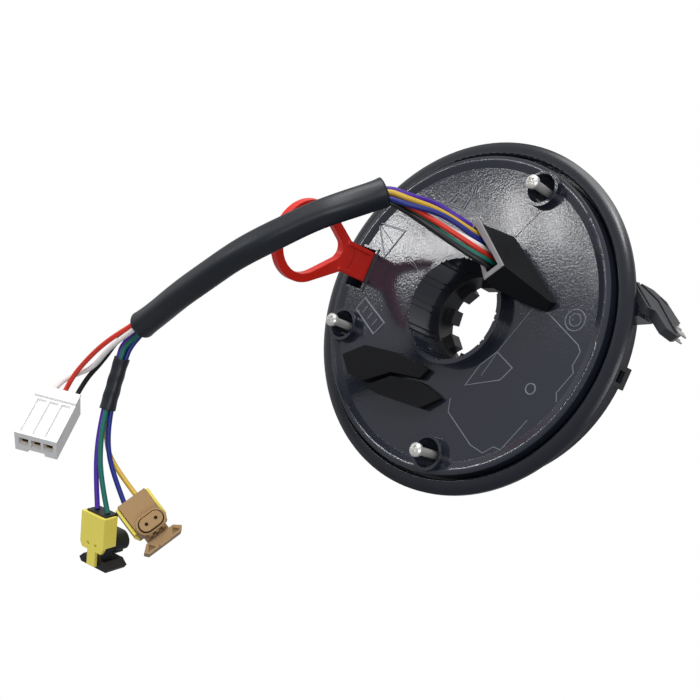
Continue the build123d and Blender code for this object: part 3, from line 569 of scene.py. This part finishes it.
@dataclass
class Sleeve:
    """A shrink sleeve: a thin open tube that shows the leads inside it as soft ridges.

    Args:
        name: name of the piece, "shrink_" before the node that it stands for.
        route: control points of its middle line.
        diameter: outer diameter in metres.
        wall: thickness of the wall.
        reference: a direction across the route, from which the angle round it is measured.
        ridge: height of the ridges that the leads press into it.
        ridges: number of ridges round it.
        twist: turns of the ridges along the whole length.
        flare: how much wider its mouths are.
        mouth: how far the flare reaches in from a mouth.
        waves: slow waves along the whole length.
        wave: height of the slow waves, as a share of the ridges.
        calm: share of the ridges and waves that is lost at a mouth.
        rows: rings of points along it.
        sides: points in a ring.
    """

    name: str
    route: tuple
    diameter: float
    wall: float
    reference: tuple
    ridge: float = 0.00018
    ridges: int = 5
    twist: float = 0.3
    flare: float = 0.0004
    mouth: float = 3 * MM
    waves: float = 3.2
    wave: float = 0.7
    calm: float = 0.7
    rows: int = 140
    sides: int = 56

    def surface(self) -> np.ndarray:
        """Points of the tube's skin, rows along it and columns round it.

        A circle is carried along the line. Its radius is half the diameter less the ridge height,
        plus a ridge that follows the cosine of the angle times the number of ridges and turns as it
        goes, plus a slow wave along the length, plus a flare that fades away from both mouths. The
        rows run along the outside and come back along the inside, one wall thickness in.
        """
        line = spaced(route_line(self.route), self.rows)
        ahead = np.gradient(line, axis=0)
        ahead /= np.linalg.norm(ahead, axis=1, keepdims=True)
        side = np.cross(ahead, np.array(self.reference))
        side /= np.linalg.norm(side, axis=1, keepdims=True)
        up = np.cross(side, ahead)
        share = np.linspace(0.0, 1.0, self.rows)[:, None]
        angle = np.linspace(0.0, 2 * np.pi, self.sides, endpoint=False)[None, :]
        length = np.linalg.norm(np.diff(line, axis=0), axis=1).sum()
        reach = length / self.mouth
        near_mouth = np.exp(-share * reach) + np.exp(-(1 - share) * reach)
        ridges = np.cos(self.ridges * angle + 2 * np.pi * self.twist * share) * self.ridge
        slow = np.sin(2 * np.pi * self.waves * share + 2 * np.cos(angle)) * self.ridge * self.wave
        radius = self.diameter / 2 - self.ridge + (ridges + slow) * (1 - self.calm * near_mouth)
        radius = radius + self.flare * near_mouth
        cosine, sine = np.cos(angle)[..., None], np.sin(angle)[..., None]
        ring = cosine * side[:, None, :] + sine * up[:, None, :]
        outside = line[:, None, :] + ring * radius[..., None]
        inside = line[:, None, :] + ring * (radius[..., None] - self.wall)
        return np.concatenate([outside, inside[::-1]])

    def make(self) -> bpy.types.Object:
        """Builds the sleeve in place of its node, on the rotor."""
        points = self.surface()
        rows, columns = points.shape[:2]
        quads = grid_faces(rows, columns, True, True)[:, ::-1]
        made = mesh_object(self.name, points.reshape(-1, 3), quads, SHRINK)
        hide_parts(self.name.replace("shrink_", ""))
        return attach(made, "rotor")


@dataclass
class Lead:
    """One insulated lead, from the comb of the terminal block to its plug.

    Args:
        colour: name of its insulation's colour.
        length: its real length in metres.
        branched: whether it also runs through the branch sleeve.
        diameter: over the insulation.
    """

    colour: str
    length: float
    branched: bool
    diameter: float = 0.0020

    def route(self) -> list:
        """Control points from end to end.

        The free stretches have the points chosen for them. Inside a sleeve the lead keeps to the
        sleeve's own points, moved aside by an offset that turns from the one at its near mouth to
        the one at its far mouth.
        """
        near = NEAR_ROUTES[self.colour]
        far = FAR_ROUTES[self.colour]
        if not self.branched:
            return [*near, *self.inside(SLEEVE_ROUTE, near[-1], far[0]), *far]
        mid = MID_ROUTES[self.colour]
        return [
            *near, *self.inside(SLEEVE_ROUTE, near[-1], mid[0]),
            *mid, *self.inside(BRANCH_ROUTE, mid[-1], far[0]), *far,
        ]

    @staticmethod
    def inside(sleeve: tuple, entry: tuple, leave: tuple) -> list:
        """Control points between the mouths of a sleeve, one beside each inner point of its route.

        Args:
            sleeve: control points of the sleeve.
            entry: where the lead enters the first mouth.
            leave: where it leaves the last one.

        Returns:
            One point for each inner point of the sleeve.
        """
        first = Vector(entry) - Vector(sleeve[0])
        last = Vector(leave) - Vector(sleeve[-1])
        inner = sleeve[1:-1]
        return [
            tuple(Vector(place) + first.lerp(last, (number + 1) / (len(inner) + 1)))
            for number, place in enumerate(inner)
        ]

    def nodes(self) -> list:
        """Names of the solids that this lead stands for."""
        stretches = ("near", "mid", "far") if self.branched else ("near", "far")
        return [f"{stretch}_{self.colour}" for stretch in stretches]

    def make(self, with_pieces: list) -> bpy.types.Object:
        """Args:
            with_pieces: the pieces that go with it; not used.

        Returns:
            The lead's curve object.
        """
        made = route_curve(f"lead_{self.colour}", self.route())
        made.data.bevel_depth = self.diameter / 2
        made.data.bevel_resolution = 5
        made.data.use_fill_caps = True
        made.data.materials.append(LEAD_FINISHES[self.colour].material())
        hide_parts(*self.nodes())
        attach(made, "rotor")
        log.info("cord %s: %.3f m", made.name, self.length)
        return made


def mitres(path: np.ndarray, closed: bool) -> np.ndarray:
    """Where each point of a flat line goes when the line moves one unit aside.

    The mitre of a corner is the sum of the side directions of its two runs over one plus their
    product, held back where the line nearly turns round.

    Args:
        path: n by 2 array of the line's points.
        closed: whether its ends are joined.

    Returns:
        An n by 2 array of the moves.
    """
    after = np.roll(path, -1, axis=0) - path
    before = path - np.roll(path, 1, axis=0)
    if not closed:
        after[-1] = before[-1]
        before[0] = after[0]
    after /= np.linalg.norm(after, axis=1, keepdims=True)
    before /= np.linalg.norm(before, axis=1, keepdims=True)
    side_after = np.stack([-after[:, 1], after[:, 0]], axis=1)
    side_before = np.stack([-before[:, 1], before[:, 0]], axis=1)
    product = np.clip((side_after * side_before).sum(axis=1, keepdims=True), -0.6, 1.0)
    return (side_after + side_before) / (1 + product)


@dataclass
class Mark:
    """A raised line on the rotor face.

    Args:
        outline: its points as (x, z) in millimetres.
        width: width of the line in millimetres.
        height: height over the face in millimetres.
        closed: whether its ends are joined.
        crest: width of its flat top, as a share of the width.
        sunk: how far its foot lies under the face, in millimetres.
    """

    outline: tuple
    width: float = 0.55
    height: float = 0.34
    closed: bool = True
    crest: float = 0.56
    sunk: float = 0.05

    def surface(self) -> tuple:
        """Points and quads of the ridge.

        The profile is a low trapezium of four points, which moves along the mitre at each corner.
        """
        path = np.array(self.outline, float)
        mitre = mitres(path, self.closed)
        across = np.array([-1, -self.crest, self.crest, 1]) * self.width / 2
        over = np.array([-self.sunk, self.height, self.height, -self.sunk])
        flat = path[:, None, :] + mitre[:, None, :] * across[None, :, None]
        level = np.broadcast_to(FACE_LEVEL / MM + over, flat.shape[:2])
        points = np.stack([flat[..., 0], -level, flat[..., 1]], axis=-1) * MM
        return points.reshape(-1, 3), grid_faces(len(path), 4, self.closed, True)


def circle(x: float, z: float, radius: float, count: int = 28) -> tuple:
    """Points of a circle on the rotor face, in millimetres."""
    turns = np.linspace(0, 2 * np.pi, count, endpoint=False)
    return tuple(zip(x + radius * np.cos(turns), z + radius * np.sin(turns)))


MARKS = (
    Mark(((-36.4, 46.6), (-23.6, 39.1), (-34.0, 30.7)), width=0.9),
    Mark(((-35.4, 44.6), (-30.0, 36.1)), closed=False),
    Mark(((-23.8, 27.6), (-17.7, 21.0), (-21.4, 27.8))),
    Mark(((-48.3, 11.8), (-43.7, 15.5), (-34.4, 2.9), (-39.8, -0.6)), width=0.7),
    Mark(((-44.9, 9.6), (-42.1, 11.8)), closed=False),
    Mark(((-42.6, 6.4), (-39.8, 8.5)), closed=False),
    Mark(((-40.4, 3.2), (-37.6, 5.3)), closed=False),
    Mark(((-3.5, 44.9), (1.7, 48.4), (7.0, 44.3), (3.7, 40.3))),
    Mark(((-1.2, 44.4), (1.8, 46.4), (4.9, 43.9), (2.9, 41.8))),
    Mark(((8.2, 46.2), (10.6, 49.6), (9.2, 43.4)), closed=False),
    Mark(((1.9, -28.8), (8.5, -22.4), (15.8, -18.9), (21.6, -26.0), (16.5, -29.5))),
    Mark(((31.1, -5.7), (17.1, -17.7), (8.8, -26.4)), width=0.35, height=0.18, closed=False),
    Mark(
        ((35.8, -7.5), (47.4, -22.7), (47.9, -25.3), (44.7, -29.6), (44.9, -32.1), (38.1, -37.9),
         (37.9, -41.1)), width=0.4, height=0.2, closed=False,
    ),
    Mark(
        ((26.5, -45.6), (15.3, -54.6), (12.5, -53.1), (8.0, -54.7), (3.1, -51.1), (-5.8, -37.6),
         (-4.7, -32.5)), width=0.4, height=0.2, closed=False,
    ),
    Mark(circle(28.3, -34.8, 1.9), width=0.6, height=0.3),
    Mark(circle(46.9, -13.6, 3.8), width=0.4, height=0.2),
    Mark(circle(46.9, -13.6, 2.2), width=0.35, height=0.2),
    Mark(((25.4, 23.1), (36.1, 30.0)), width=0.35, height=0.15, closed=False),
)


@dataclass
class RotorFace:
    """The raised marks of the rotor face, joined in one piece. They are drawn light grey, a painted
    highlight of the light that their edges catch on the black face.

    Args:
        marks: the lines that it is made of.
    """

    marks: tuple = MARKS

    def make(self) -> bpy.types.Object:
        """Builds the marks on the rotor."""
        places = []
        quads = []
        count = 0
        for mark in self.marks:
            points, faces = mark.surface()
            places.append(points)
            quads.append(faces + count)
            count += len(points)
        points, faces = np.concatenate(places), np.concatenate(quads)
        made = mesh_object("face_marks", points, faces, PAINTED_HIGHLIGHT_MARKS, smooth=False)
        outwards(made)
        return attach(made, "rotor")


def outwards(piece: bpy.types.Object) -> None:
    """Merges a closed piece's doubled points, then turns every facet to point outwards."""
    work = bmesh.new()
    work.from_mesh(piece.data)
    bmesh.ops.remove_doubles(work, verts=work.verts, dist=MERGE_DISTANCE)
    bmesh.ops.recalc_face_normals(work, faces=work.faces)
    work.to_mesh(piece.data)
    work.free()


def box(left: float, low: float, right: float, high: float) -> tuple:
    """Corners of an upright rectangle."""
    return (left, low), (right, low), (right, high), (left, high)


def drawn_out(first: tuple, second: tuple, count: int = 72) -> tuple:
    """Outline of a band stretched round two circles, each given as (u, v, radius).

    In each direction the outline touches the circle that reaches further: its centre's share of the
    direction plus its radius is the larger.

    Args:
        first: one circle.
        second: the other circle, or the same one again.
        count: number of corners.

    Returns:
        The corners as (u, v).
    """
    turns = np.linspace(0, 2 * np.pi, count, endpoint=False)
    ways = np.stack([np.cos(turns), np.sin(turns)], axis=1)
    circles = np.array([first, second], float)
    reach = ways @ circles[:, :2].T + circles[:, 2]
    touched = circles[np.argmax(reach, axis=1)]
    return tuple(map(tuple, touched[:, :2] + ways * touched[:, 2:]))


def oblong(u: float, v: float, width: float, height: float) -> tuple:
    """Outline of a slot with round ends that lies along u."""
    half = (width - height) / 2
    return drawn_out((u - half, v, height / 2), (u + half, v, height / 2))


def strip(path: tuple, width: float) -> tuple:
    """Outline of a band of even width along an open line."""
    line = np.array(path, float)
    aside = mitres(line, False) * width / 2
    return tuple(map(tuple, np.concatenate([line + aside, (line - aside)[::-1]])))


@dataclass(frozen=True)
class Slab:
    """A flat step of a moulding, in millimetres on the moulding's own plane.

    Args:
        outline: its corners as (u, v).
        low: height of its under side over the plane.
        high: height of its upper side.
        holes: outlines of the holes through it.
        cut: whether it is taken away instead of added.
    """

    outline: tuple
    low: float
    high: float
    holes: tuple = ()
    cut: bool = False


@dataclass(frozen=True)
class Moulding:
    """A moulded or stamped piece, made of slabs on one plane.

    Args:
        name: name of the piece.
        body: the body that it rides on.
        finish: what it is made of.
        origin: origin of its plane in millimetres.
        across: direction of u.
        along: direction of v.
        slabs: its steps, and the cuts that go through all of them.
        nodes: names of the solids that it stands for.
        edge: radius of its rounded edges in millimetres.
    """

    name: str
    body: str
    finish: Finish
    origin: tuple
    across: tuple
    along: tuple
    slabs: tuple
    nodes: tuple = ()
    edge: float = 0.2

    def slab(self, slab: Slab) -> bpy.types.Object:
        """One slab as a closed mesh object, filled between its outline and its holes.

        A flat point (u, v) at height w lies at the origin plus u times across, v times along and w
        times their cross product.
        """
        data = bpy.data.curves.new(self.name, "CURVE")
        data.dimensions = "2D"
        data.fill_mode = "BOTH"
        data.extrude = (slab.high - slab.low) / 2
        for ring in (slab.outline, *slab.holes):
            spline = data.splines.new("POLY")
            spline.points.add(len(ring) - 1)
            for point, place in zip(spline.points, ring):
                point.co = (*place, 0.0, 1.0)
            spline.use_cyclic_u = True
        flat = placed(self.name, data)
        bpy.context.view_layer.update()
        mesh = bpy.data.meshes.new_from_object(flat)
        bpy.data.objects.remove(flat)
        local = vectors(mesh.vertices, "co") + np.array([0.0, 0.0, (slab.high + slab.low) / 2])
        axes = np.array([self.across, self.along, np.cross(self.across, self.along)])
        mesh.vertices.foreach_set("co", ((local @ axes + np.array(self.origin)) * MM).ravel())
        made = placed(self.name, mesh)
        outwards(made)
        return made

    def make(self) -> bpy.types.Object:
        """Cuts the slabs, joins them, rounds their edges and puts the piece on its body."""
        shells = [self.slab(slab) for slab in self.slabs if not slab.cut]
        cutters = [self.slab(slab) for slab in self.slabs if slab.cut]
        for shell in shells:
            for cutter in cutters:
                cut = shell.modifiers.new("cut", "BOOLEAN")
                cut.operation = "DIFFERENCE"
                cut.solver = "EXACT"
                cut.object = cutter
        bpy.context.view_layer.update()
        graph = bpy.context.evaluated_depsgraph_get()
        work = bmesh.new()
        for shell in shells:
            work.from_mesh(bpy.data.meshes.new_from_object(shell.evaluated_get(graph)))
        fused = bpy.data.meshes.new(self.name)
        work.to_mesh(fused)
        work.free()
        for helper in (*shells, *cutters):
            bpy.data.objects.remove(helper)
        base = placed(self.name, fused)
        fused.shade_smooth()
        fused.set_sharp_from_angle(angle=SHARP_ANGLE)
        fused.materials.clear()
        fused.materials.append(self.finish.material())
        rounded = base.modifiers.new("edge", "BEVEL")
        rounded.width = self.edge * MM
        rounded.segments = 2
        rounded.limit_method = "ANGLE"
        rounded.angle_limit = ROUNDED_ANGLE
        if self.nodes:
            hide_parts(*self.nodes)
        log.info("piece %s: %d faces", self.name, len(fused.polygons))
        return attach(base, self.body)


# The plane of the pieces that are drawn as seen from the front
FRONT = {"origin": (0.0, 0.0, 0.0), "across": (1.0, 0.0, 0.0), "along": (0.0, 0.0, 1.0)}

LOCK_RING = Moulding(
    "lock_ring", "lock_pin", PULL, (-41.6, 0.0, 28.1), (0.4909, 0.0, 0.8712), (0.0, -1.0, 0.0),
    (
        Slab(
            ((-5.1, 8.0), (5.1, 8.0), (6.3, 10.5), (6.3, 40.5), (-6.3, 40.5), (-6.3, 10.5)),
            -3.0, 0.0,
        ),
        Slab(
            drawn_out((-1.0, 59.6, 16.0), (0.0, 40.5, 6.8)), -3.1, 0.1,
            holes=(drawn_out((-1.0, 59.6, 12.6), (0.6, 45.4, 4.6)),),
        ),
        Slab(box(4.5, 25.5, 6.3, 39.5), -0.5, 0.6),
        Slab(box(-6.3, 25.5, -4.5, 39.5), -0.5, 0.6),
    ), nodes=("lock_pull",), edge=0.75,
)

GUIDE_LID = Moulding(
    "guide_lid", "rotor", MATT, (-43.0, -30.22, -13.6), (0.9515, 0.1667, -0.2587),
    (0.2624, 0.0, 0.9650), (Slab(drawn_out((0, 0, 3.4), (0, 0, 3.4), 40), -1.3, 0.0),), edge=0.02,
)

HOOD_LIP = Moulding(
    "hood_lip", "rotor", RIM, (20.4, -40.0, 26.4), (0.4407, -0.1202, -0.8895),
    (-0.8326, 0.3152, -0.4554),
    (Slab(strip(((0.2, 4.6), (0.9, 0.9), (23.9, 0.9), (21.4, 9.1), (18.4, 8.4)), 1.9), -0.1, 0.5),),
    edge=0.1,
)


@dataclass(frozen=True)
class RearPlug:
    """The carrier plate behind the flange, with its two channels, its neck and its flat pins.

    Args:
        origin: a corner of the plate's outer side in millimetres.
        across: direction along the row of pins.
        along: direction to the rear.
        pins: (place along the row, width, root level, tip level) of each pin.
        inset: how far the pins lie behind the outer side.
        thickness: thickness of a pin.
    """

    origin: tuple = (66.38, -16.0, -1.74)
    across: tuple = (0.38, 0.0, -0.925)
    along: tuple = (0.2026, 0.9754, 0.0832)
    pins: tuple = (
        *((place, 0.9, 5.5, -8.0) for place in (5.6, 7.6, 9.6, 11.6, 13.6)),
        (16.2, 2.4, 5.5, -8.0), (20.3, 0.7, 7.8, 0.0), (21.5, 0.7, 7.8, 0.0),
    )
    inset: float = 2.1
    thickness: float = 0.6

    def pin(self, place: float, width: float, root: float, tip: float) -> Slab:
        """One flat pin that stands on the rear end of the plate and points to the rear.

        Args:
            place: where it stands along the row.
            width: its width.
            root: level of its root.
            tip: level of its tip.

        Returns:
            The pin as a slab on the front plane.
        """
        drop = -(self.origin[1] + root) / self.along[1]
        normal = np.cross(self.across, self.along)
        spot = np.array(self.origin) + place * np.array(self.across) + drop * np.array(self.along)
        spot = (spot - self.inset * normal)[[0, 2]]
        wide = np.array([self.across[0], self.across[2]]) * width / 2
        thick = np.array([-self.across[2], self.across[0]]) * self.thickness / 2
        low, high = spot - thick, spot + thick
        corners = (low - wide, low + wide, high + wide, high - wide)
        return Slab(tuple(map(tuple, corners)), tip, root)

    def make(self) -> None:
        """Builds the plate, its neck and its pins on the housing."""
        outline = (
            (0.0, -0.8), (0.5, 4.1), (2.2, 9.4), (6.6, 13.9), (15.8, 14.9), (18.0, 10.1),
            (22.0, 10.1), (22.4, 7.7), (19.7, 3.6), (12.6, 2.9), (11.6, -0.8),
        )
        Moulding(
            "rear_plug_plate", "stator", PLATE, self.origin, self.across, self.along,
            (
                Slab(outline, -3.3, 0.0),
                Slab(strip(((0.6, 3.0), (7.1, 8.4), (21.0, 8.3)), 1.5), -1.8, 0.5, cut=True),
                Slab(strip(((0.6, 0.2), (11.2, 1.0)), 1.4), -1.8, 0.5, cut=True),
                Slab(strip(((5.2, 11.4), (8.4, 13.2)), 1.0), -1.4, 0.5, cut=True),
            ), nodes=("rear_plug_shroud",), edge=0.15,
        ).make()
        Moulding(
            "rear_plug_neck", "stator", HOUSING, **FRONT, slabs=(
                Slab(((68.2, -6.8), (67.0, -14.6), (58.9, -13.4), (60.1, -5.5)), 5.0, 12.6),
                Slab(((68.2, -6.8), (67.0, -14.6), (63.0, -14.0), (64.2, -6.2)), 11.0, 16.2),
            ),
        ).make()
        Moulding(
            "rear_plug_pins", "stator", TIN, **FRONT,
            slabs=tuple(self.pin(*pin) for pin in self.pins), nodes=("rear_terminals",), edge=0.08,
        ).make()


@dataclass(frozen=True)
class AirbagPlug:
    """The body of an airbag plug: block, oblong nose with its shell and ribs, and the foot plate.

    Args:
        letter: which of the two plugs.
        finish: its plastic.
        half: half the width of the block.
        origin: the middle of the wire side of the block.
        across: direction along the width.
        along: direction towards the leads.
        nose: where the middle of the nose lies along the block.
    """

    letter: str
    finish: Finish
    half: float
    origin: tuple
    across: tuple
    along: tuple
    nose: float = -12.8

    def make(self) -> bpy.types.Object:
        """Builds the plug on the rotor's harness."""
        half = self.half
        wing = (
            (-8.7, -20.6), (-6.1, -18.4), (6.1, -18.4), (8.7, -20.6), (7.4, -22.2), (-7.4, -22.2),
        )
        groove = oblong(0.0, self.nose, 10.6, 6.2)
        steps = [
            Slab(box(-half, -15.0, half, 0.0), -2.9, 2.9),
            Slab(box(-half + 1.5, -20.2, half - 1.5, -14.5), -2.9, 2.9),
            Slab(oblong(0.0, self.nose, 12.2, 7.8), 2.5, 9.2, holes=(groove,)),
            Slab(oblong(0.0, self.nose, 9.6, 5.4), 2.5, 10.2),
            Slab(wing, -2.9, 6.3),
            Slab(box(-2.4, -22.4, 2.4, -21.4), 5.4, 6.9),
        ]
        for shift in (-2.9, 0.0, 2.9):
            rib = box(shift - 0.7, self.nose - 4.5, shift + 0.7, self.nose - 3.6)
            steps.append(Slab(rib, 2.5, 8.4))
        for side in (-1, 1):
            hole = (side * 2.1, self.nose, 0.7)
            steps.append(Slab(drawn_out(hole, hole, 20), 6.0, 11.0, cut=True))
            recess = ((side * 7.2, -21.3), (side * 3.9, -21.3), (side * 5.4, -19.2))
            steps.append(Slab(recess, 5.0, 7.5, cut=True))
        return Moulding(
            f"squib_body_{self.letter}", "rotor", self.finish, self.origin, self.across, self.along,
            tuple(steps), nodes=(f"airbag_plug_{self.letter}",), edge=0.12,
        ).make()


@dataclass
class Frame:
    """The solids that are shown as they are, each with its finish.

    Args:
        finishes: the finish of each solid by its name.
        rim: three corners of the mouth of the wire exit hood, in millimetres.
        rim_depth: how far a facet of the mouth edge may lie out of their plane.
        rim_aim: how closely its normal follows the plane's.
    """

    finishes: dict = field(default_factory=NODE_FINISHES.copy)
    rim: tuple = ((20.4, -40.0, 26.4), (31.4, -43.0, 4.2), (21.8, -39.5, 2.2))
    rim_depth: float = 0.1 * MM
    rim_aim: float = 0.99

    def dress(self) -> None:
        """Gives every shown solid its finish."""
        for name, finish in self.finishes.items():
            solid = frame["nodes"][name]
            solid.data.materials.clear()
            solid.data.materials.append(finish.material())

    def light_rim(self) -> None:
        """Gives the mouth edge of the wire exit hood its pale finish.

        The facets of the edge are the ones whose normal lies along the mouth's plane normal and
        whose middle lies in that plane.
        """
        mesh = frame["nodes"]["wire_exit_hood"].data
        mesh.materials.append(RIM.material())
        corner, first, second = (Vector(point) * MM for point in self.rim)
        normal = np.array((first - corner).cross(second - corner).normalized())
        away = np.abs((vectors(mesh.polygons, "center") - np.array(corner)) @ normal)
        along = np.abs(vectors(mesh.polygons, "normal") @ normal)
        slots = ((away < self.rim_depth) & (along > self.rim_aim)).astype(np.int32)
        mesh.polygons.foreach_set("material_index", slots)
        log.info("hood rim: %d facets", int(slots.sum()))


@dataclass
class Studio:
    """Camera, backdrop and lights.

    Args:
        camera_place: where the camera stands.
        camera_turn: its turns about the axes in degrees.
        lens: its focal length in millimetres.
        light_distance: how far a softbox hangs from the spot that mirrors it.
        room_strength: light of the room round the object.
        room_floor: colour of the room below.
    """

    camera_place: tuple = (0.19961, -0.33821, -0.13289)
    camera_turn: tuple = (107.62, 0.0, 38.53)
    lens: float = 54.42
    light_distance: float = 0.9
    room_strength: float = 0.62
    room_floor: tuple = (0.42, 0.43, 0.46, 1.0)

    def camera(self) -> None:
        """Places the camera that the photograph was taken from."""
        data = bpy.data.cameras.new("camera")
        data.lens = self.lens
        data.sensor_width = 36.0
        data.clip_start = 0.01
        made = placed("camera", data)
        made.location = self.camera_place
        made.rotation_euler = tuple(math.radians(angle) for angle in self.camera_turn)
        bpy.context.scene.camera = made

    def backdrop(self) -> None:
        """Shows pure white to the camera, and a grey room with a brighter top to all else."""
        world = bpy.data.worlds.new("room")
        world.use_nodes = True
        bpy.context.scene.world = world
        nodes = world.node_tree.nodes
        nodes.clear()
        output = nodes.new("ShaderNodeOutputWorld")
        mix = nodes.new("ShaderNodeMixShader")
        path = nodes.new("ShaderNodeLightPath")
        white = nodes.new("ShaderNodeBackground")
        white.inputs["Color"].default_value = (1.0, 1.0, 1.0, 1.0)
        room = nodes.new("ShaderNodeBackground")
        room.inputs["Strength"].default_value = self.room_strength
        place = nodes.new("ShaderNodeTexCoord")
        split = nodes.new("ShaderNodeSeparateXYZ")
        ramp = nodes.new("ShaderNodeValToRGB")
        ramp.color_ramp.elements[0].position = 0.30
        ramp.color_ramp.elements[0].color = self.room_floor
        ramp.color_ramp.elements[1].position = 0.80
        ramp.color_ramp.elements[1].color = (1.0, 1.0, 1.0, 1.0)
        half = math_node(nodes, "MULTIPLY_ADD", None, 0.5, 0.5)
        join(
            world.node_tree, (place, "Generated", split, "Vector"), (split, "Z", half, 0),
            (half, 0, ramp, "Fac"), (ramp, "Color", room, "Color"),
            (path, "Is Camera Ray", mix, "Fac"), (room, "Background", mix, 1),
            (white, "Background", mix, 2), (mix, "Shader", output, "Surface"),
        )

    @staticmethod
    def light(name: str, place: Vector, way: Vector, size: tuple, watts: float) -> None:
        """Hangs an area light.

        Args:
            name: name of the light.
            place: where it hangs.
            way: direction from what it lights to the light.
            size: its width and height.
            watts: its power.
        """
        data = bpy.data.lights.new(name, "AREA")
        data.shape = "RECTANGLE"
        data.size, data.size_y = size
        data.energy = watts
        made = placed(name, data)
        made.location = place
        made.rotation_euler = way.to_track_quat("Z", "Y").to_euler()

    def softbox(
        self, name: str, mirrored_at: tuple, size: tuple, watts: float,
        leans: tuple = (0.0, -1.0, 0.0),
    ) -> None:
        """Places an area light where a spot of the rotor face mirrors it to the camera.

        Args:
            name: name of the light.
            mirrored_at: the spot on the face as (x, z) in millimetres.
            size: width and height of the light.
            watts: its power.
            leans: the direction that the surface faces at that spot.
        """
        spot = Vector((mirrored_at[0] * MM, -FACE_LEVEL, mirrored_at[1] * MM))
        seen = (spot - Vector(self.camera_place)).normalized()
        leaves = seen.reflect(Vector(leans).normalized())
        self.light(name, spot + leaves * self.light_distance, leaves, size, watts)

    def lamp(self, name: str, way: tuple, size: float, watts: float) -> None:
        """Hangs a large soft lamp one metre away, outside what the rotor face mirrors.

        Args:
            name: name of the lamp.
            way: direction from the object to it.
            size: length of its sides.
            watts: its power.
        """
        self.light(name, Vector(way).normalized(), Vector(way), (size, size), watts)

    def make(self) -> None:
        """Sets up the whole studio."""
        scene = bpy.context.scene
        scene.view_settings.view_transform = "Standard"
        self.camera()
        self.backdrop()
        self.lamp("key", (0.30, -0.50, 0.81), 0.55, 4.4)
        self.lamp("fill", (0.62, -0.70, -0.36), 0.45, 2.6)
        for name, spot, size, watts in (
            ("haze_left", (-22.0, 34.0), (0.17, 0.09), 0.05),
            ("streak_left", (-34.0, 40.0), (0.06, 0.05), 0.15),
            ("streak_mid", (-5.0, 28.0), (0.08, 0.02), 0.12),
            ("haze_right", (38.0, 30.0), (0.10, 0.15), 0.012),
            ("streak_top", (26.0, 31.0), (0.02, 0.06), 0.10),
            ("streak_side", (42.0, 25.0), (0.022, 0.055), 0.08),
            ("streak_rim", (55.5, 9.0), (0.012, 0.09), 0.035),
        ):
            self.softbox(name, spot, size, watts)
        self.softbox("flange_glow", (64.1, 17.9), (0.10, 0.22), 1.5, leans=(0.40, -0.91, 0.11))


@dataclass
class Harness:
    """The seven leads, their sleeves and the plugs that they end in."""

    def make(self) -> None:
        """Builds the sleeves and plugs, then each lead."""
        main = Sleeve("shrink_main_sleeve", SLEEVE_ROUTE, 0.0106, 0.0006, (0.0, 0.0, 1.0)).make()
        branch = Sleeve(
            "shrink_branch_sleeve", BRANCH_ROUTE, 0.0062, 0.0005, (0.0, 1.0, 0.0),
            ridge=0.00014, ridges=4, rows=60, sides=40, flare=0.0002,
        ).make()
        solids = frame["nodes"]
        plug_a = AirbagPlug(
            "a", BLACK_PLUG, 5.55, (-128.1, -79.4, -68.75), (-0.922452, -0.090694, 0.375309),
            (0.384238, -0.311284, 0.869174),
        ).make()
        plug_b = AirbagPlug(
            "b", TAN_PLUG, 6.15, (-120.2, -72.5, -63.9), (0.496013, 0.598755, 0.628859),
            (-0.415961, -0.471873, 0.777375),
        ).make()
        leads = (
            (Lead("violet", 0.2380, True), [branch, plug_a, solids["plug_a_lock"]]),
            (Lead("green", 0.2465, True), [solids["airbag_plug_a"]]),
            (Lead("blue", 0.2382, True), [plug_b, solids["plug_b_lock"]]),
            (Lead("yellow", 0.2396, True), [solids["airbag_plug_b"]]),
            (Lead("red", 0.2181, False), [main, solids["white_plug"], solids["white_contacts"]]),
            (Lead("black", 0.2216, False), [solids["white_plug"]]),
            (Lead("white", 0.2207, False), [solids["white_plug"]]),
        )
        for lead, pieces in leads:
            lead.make(pieces)


def main() -> None:
    """Builds everything in order."""
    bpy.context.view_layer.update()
    Studio().make()
    Harness().make()
    solids = Frame()
    solids.dress()
    solids.light_rim()
    RotorFace().make()
    LOCK_RING.make()
    RearPlug().make()
    GUIDE_LID.make()
    HOOD_LIP.make()
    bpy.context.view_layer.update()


if __name__ == "__main__":
    logging.basicConfig(level=logging.INFO)
    main()
